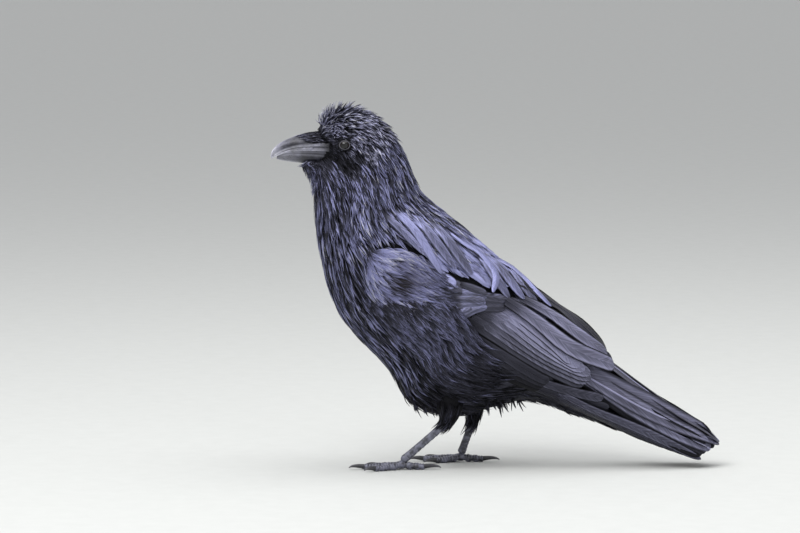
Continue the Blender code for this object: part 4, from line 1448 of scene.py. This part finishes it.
def shank_rings(label):
    """A shank with plates in front and a fine net behind, and where its toes meet."""
    x, y, z, _ = THIGHS[label][-1]
    lean = np.array([0.0, *LEANS[label]])
    ankle = np.array([x, y, z], float) - lean * 9
    joint = np.array([x, y, z]) + lean * (z - TARSUS_LIFT) / abs(lean[2])
    share = np.linspace(0, 1, 90)[:, None]
    angle = around(28)
    front = step_between(-np.sin(angle), -0.1, 0.5)
    swell = 1 + 0.24 * (2 * share - 1) ** 4
    plate = scutes(share, 11, 0.55) * front
    net = 0.10 * np.sin(share * 160) * np.sin(angle * 6) * (1 - front)
    end = np.sqrt(1 - 0.85 * np.clip((share - 0.93) / 0.07, 0, 1) ** 2)
    wide = end * (3.4 * swell + plate * 0.5 + net) * np.cos(angle)
    deep = end * (4.2 * swell + plate + net) * np.sin(angle)
    centre = ankle + (joint - ankle) * share[..., None]
    rings = tube(centre, np.array([1.0, 0, 0]), np.array([0.0, lean[2], -lean[1]]), wide, deep)
    wear_and_highlight = step_between((share * 11) % 1.0, 0.72, 0.92) * front * 0.7 + 0.12
    return rings, wear_and_highlight * np.ones_like(plate), joint


def toe_rings(joint, ahead, aside, length, radius):
    """A toe: scutes on top, pads below, flat on the floor."""
    share = np.linspace(0, 1, 70)[:, None]
    angle = around(20)
    thick = radius * (1 - 0.16 * share) * (1 + 0.09 * np.cos(share * 6 * math.pi))
    thick = thick * np.sqrt(np.clip(1 - (np.clip(share - 0.93, 0, 1) / 0.078) ** 2, 0.05, 1))
    top = step_between(np.sin(angle), -0.1, 0.6)
    bottom = step_between(-np.sin(angle), -0.1, 0.6)
    count = max(6, round(length / 3.2))
    size = thick + scutes(share, count, 0.6) * top + 0.5 * np.cos(share * 6 * math.pi) * bottom
    centre = joint * (1, 1, 0) + ahead * (length * share)
    heights = [6.2, radius * TOE_HEIGHT + 0.8, radius * 0.84 * TOE_HEIGHT]
    centre[:, 2] = np.interp(share[:, 0], [0, 0.22, 1], heights)
    rings = tube(centre[:, None], aside, np.array([0, 0, 1.0]), size * np.cos(angle), size * np.sin(angle))
    rings[..., 2] = np.maximum(0, rings[..., 2])
    return rings, step_between((share * count) % 1.0, 0.7, 0.92) * top * 0.7 + 0.1 * top


def claw_rings(joint, ahead, aside, length, radius, reach):
    """A claw that curves down from the end of its toe."""
    share = np.linspace(0, 1, 30)[:, None]
    angle = around(16)
    centre = joint * (1, 1, 0) + ahead * (length - 1.6)
    centre = centre + ahead * ((reach + 3.2) * np.sin(share * 1.35) / math.sin(1.35))
    centre[:, 2:] = radius * TOE_HEIGHT + 1.6 * np.sin(share * math.pi * 0.8) - 2.6 * share**2
    thick = 2.6 * (1 - share) ** 0.8 + 0.16
    over = unit(np.cross(aside, unit(np.gradient(centre, axis=0))))
    over[over[:, 2] < 0] *= -1
    tall = thick * (np.sin(angle) - 0.12 * step_between(-np.sin(angle), 0.5, 1.0))
    rings = tube(centre[:, None], aside, over[:, None], thick * 0.78 * np.cos(angle), tall)
    rings[..., 2] = np.maximum(0.02, rings[..., 2])
    return rings, np.repeat(0.1 + 0.5 * share**2, 16, 1)


def make_legs():
    scales = scale_look()
    horn = horn_look("claw_horn", (0.012, 0.012, 0.014), (0.045, 0.044, 0.050), (500.0, 160.0, 500.0))
    for label, side in SIDES.items():
        rings, wear_and_highlight, joint = shank_rings(label)
        solid_piece(f"tarsus_{label}", [(rings, wear_and_highlight)], scales, [f"shank_{label}"])
        toes = []
        for toe, (degrees, length, radius, reach) in TOES.items():
            turn = math.radians(degrees)
            ahead = np.array([side * math.sin(turn), -math.cos(turn), 0.0])
            aside = np.array([-math.cos(turn), -side * math.sin(turn), 0.0])
            toes.append(toe_rings(joint, ahead, aside, length, radius))
            claw = claw_rings(joint, ahead, aside, length, radius, reach)
            solid_piece(f"claw_horn_{toe}_{label}", [claw], horn, [f"claw_{toe}_{label}"])
        solid_piece(f"toes_{label}", toes, scales, [f"foot_{label}"])


# ---- the room ----

# Area lights: where they are and what they aim at, their two sides and their power.
LIGHTS = {
    "key": ((1.6, -1.2, 2.6), (0, -0.05, 0.25), (2.4, 1.6), 62),
    "top": ((-0.2, 0.6, 2.8), (0, 0, 0.25), (2.6, 2.6), 46),
    "fill": ((2.6, 1.6, 0.9), (0, 0, 0.2), (1.6, 1.2), 9),
}
CAMERA_DISTANCE = 6.0
CAMERA_RISE = math.radians(5)
CAMERA_AIM = Vector((0, -0.1058, 0.2246))
SEEN_WIDTH = 0.896
FLOOR_RADIUS = 30


def aim_at(made, place, aim):
    made.location = place
    made.rotation_euler = (Vector(aim) - Vector(place)).to_track_quat("-Z", "Y").to_euler()


def make_floor():
    shape = bmesh.new()
    bmesh.ops.create_circle(shape, cap_ends=True, segments=96, radius=FLOOR_RADIUS)
    mesh = bpy.data.meshes.new("floor")
    shape.to_mesh(mesh)
    shape.free()
    look = Look("floor_pale", 0.8)
    grain = look.noise(look.place(), 40.0)
    mesh.materials.append(look.done(look.mix(grain, (0.55, 0.56, 0.54), (0.60, 0.61, 0.59))))
    show("floor", mesh)


def make_lights():
    for name, (place, aim, size, power) in LIGHTS.items():
        lamp = bpy.data.lights.new(name, "AREA")
        lamp.shape = "RECTANGLE"
        lamp.size, lamp.size_y = size
        lamp.energy = power
        aim_at(show(name, lamp), place, aim)


def make_world():
    """A pale studio: grey near the floor, white above."""
    world = bpy.data.worlds.new("studio")
    world.use_nodes = True
    tree = world.node_tree
    way = tree.nodes.new("ShaderNodeTexCoord")
    height = tree.nodes.new("ShaderNodeSeparateXYZ")
    tree.links.new(way.outputs["Generated"], height.inputs[0])
    ramp = tree.nodes.new("ShaderNodeValToRGB")
    low, high = ramp.color_ramp.elements
    low.position, low.color = 0.0, (0.74, 0.75, 0.74, 1)
    high.position, high.color = 0.9, (1.0, 1.0, 1.05, 1)
    ramp.color_ramp.elements.new(0.15).color = (0.74, 0.75, 0.74, 1)
    tree.links.new(height.outputs["Z"], ramp.inputs[0])
    tree.links.new(ramp.outputs[0], tree.nodes["Background"].inputs[0])
    tree.nodes["Background"].inputs[1].default_value = 0.75
    bpy.context.scene.world = world


def make_camera():
    """From the bird's left, five degrees above the level."""
    camera = bpy.data.cameras.new("camera")
    camera.sensor_width = 36
    camera.lens = camera.sensor_width * CAMERA_DISTANCE / SEEN_WIDTH
    camera.clip_end = 100
    made = show("camera", camera)
    way = Vector((math.cos(CAMERA_RISE), 0, math.sin(CAMERA_RISE)))
    aim_at(made, CAMERA_AIM + way * CAMERA_DISTANCE, CAMERA_AIM)
    bpy.context.scene.camera = made


def make_coat():
    fine = strand_look("feather_fine", 0.46, SILVER)
    strands = strand_look("feather_strand", 0.42, SHEEN)
    soft = strand_look("feather_soft", 0.5, SHEEN)
    broad = vane_look("feather_broad", 0.38, SHEEN, 0.0004, 0.1, 0.6, 0.2)
    flight = vane_look("feather_flight", 0.40, GLOSS, 0.0008, 0.12, 0.12, 0.08)
    tail = vane_look("feather_tail", 0.40, GLOSS, 0.0012, 1.8, 0.4, 0.12)
    head_coat(fine)
    bristles("bristles_nasal", fine, UPPER_BILL, 1, 1200, 1.25, (-201, -184), (9, 26), 0.0, 0.36, 17)
    bristles("bristles_chin", fine, LOWER_BILL, -1, 380, 0.9, (-206, -192), (6, 12), 5.0, 0.7, 27)
    neck_coat(strands)
    breast_coat(strands, soft)
    wet_locks(strands)
    leg_coat(strands)
    back_coat(broad)
    wing_coat(broad, soft)
    tail_feathers(tail)
    quills("secondaries", SECONDARIES + TERTIALS, flight, 0.1, 0.2, replaced="wing_secondaries",
           clear_layer=CLEAR_LAYER)
    quills("primaries", PRIMARIES, flight, 0.1, 0.2, replaced="wing_primaries")
    quills("scapulars", SCAPULARS, broad, 0.5, 1.1, slot="plumage")


def main():
    bpy.context.scene.view_settings.view_transform = "Standard"
    make_camera()
    make_world()
    make_floor()
    make_lights()
    make_skin([body, rear, *thighs.values()])
    make_coat()
    make_bill()
    make_eyes()
    make_legs()


main()
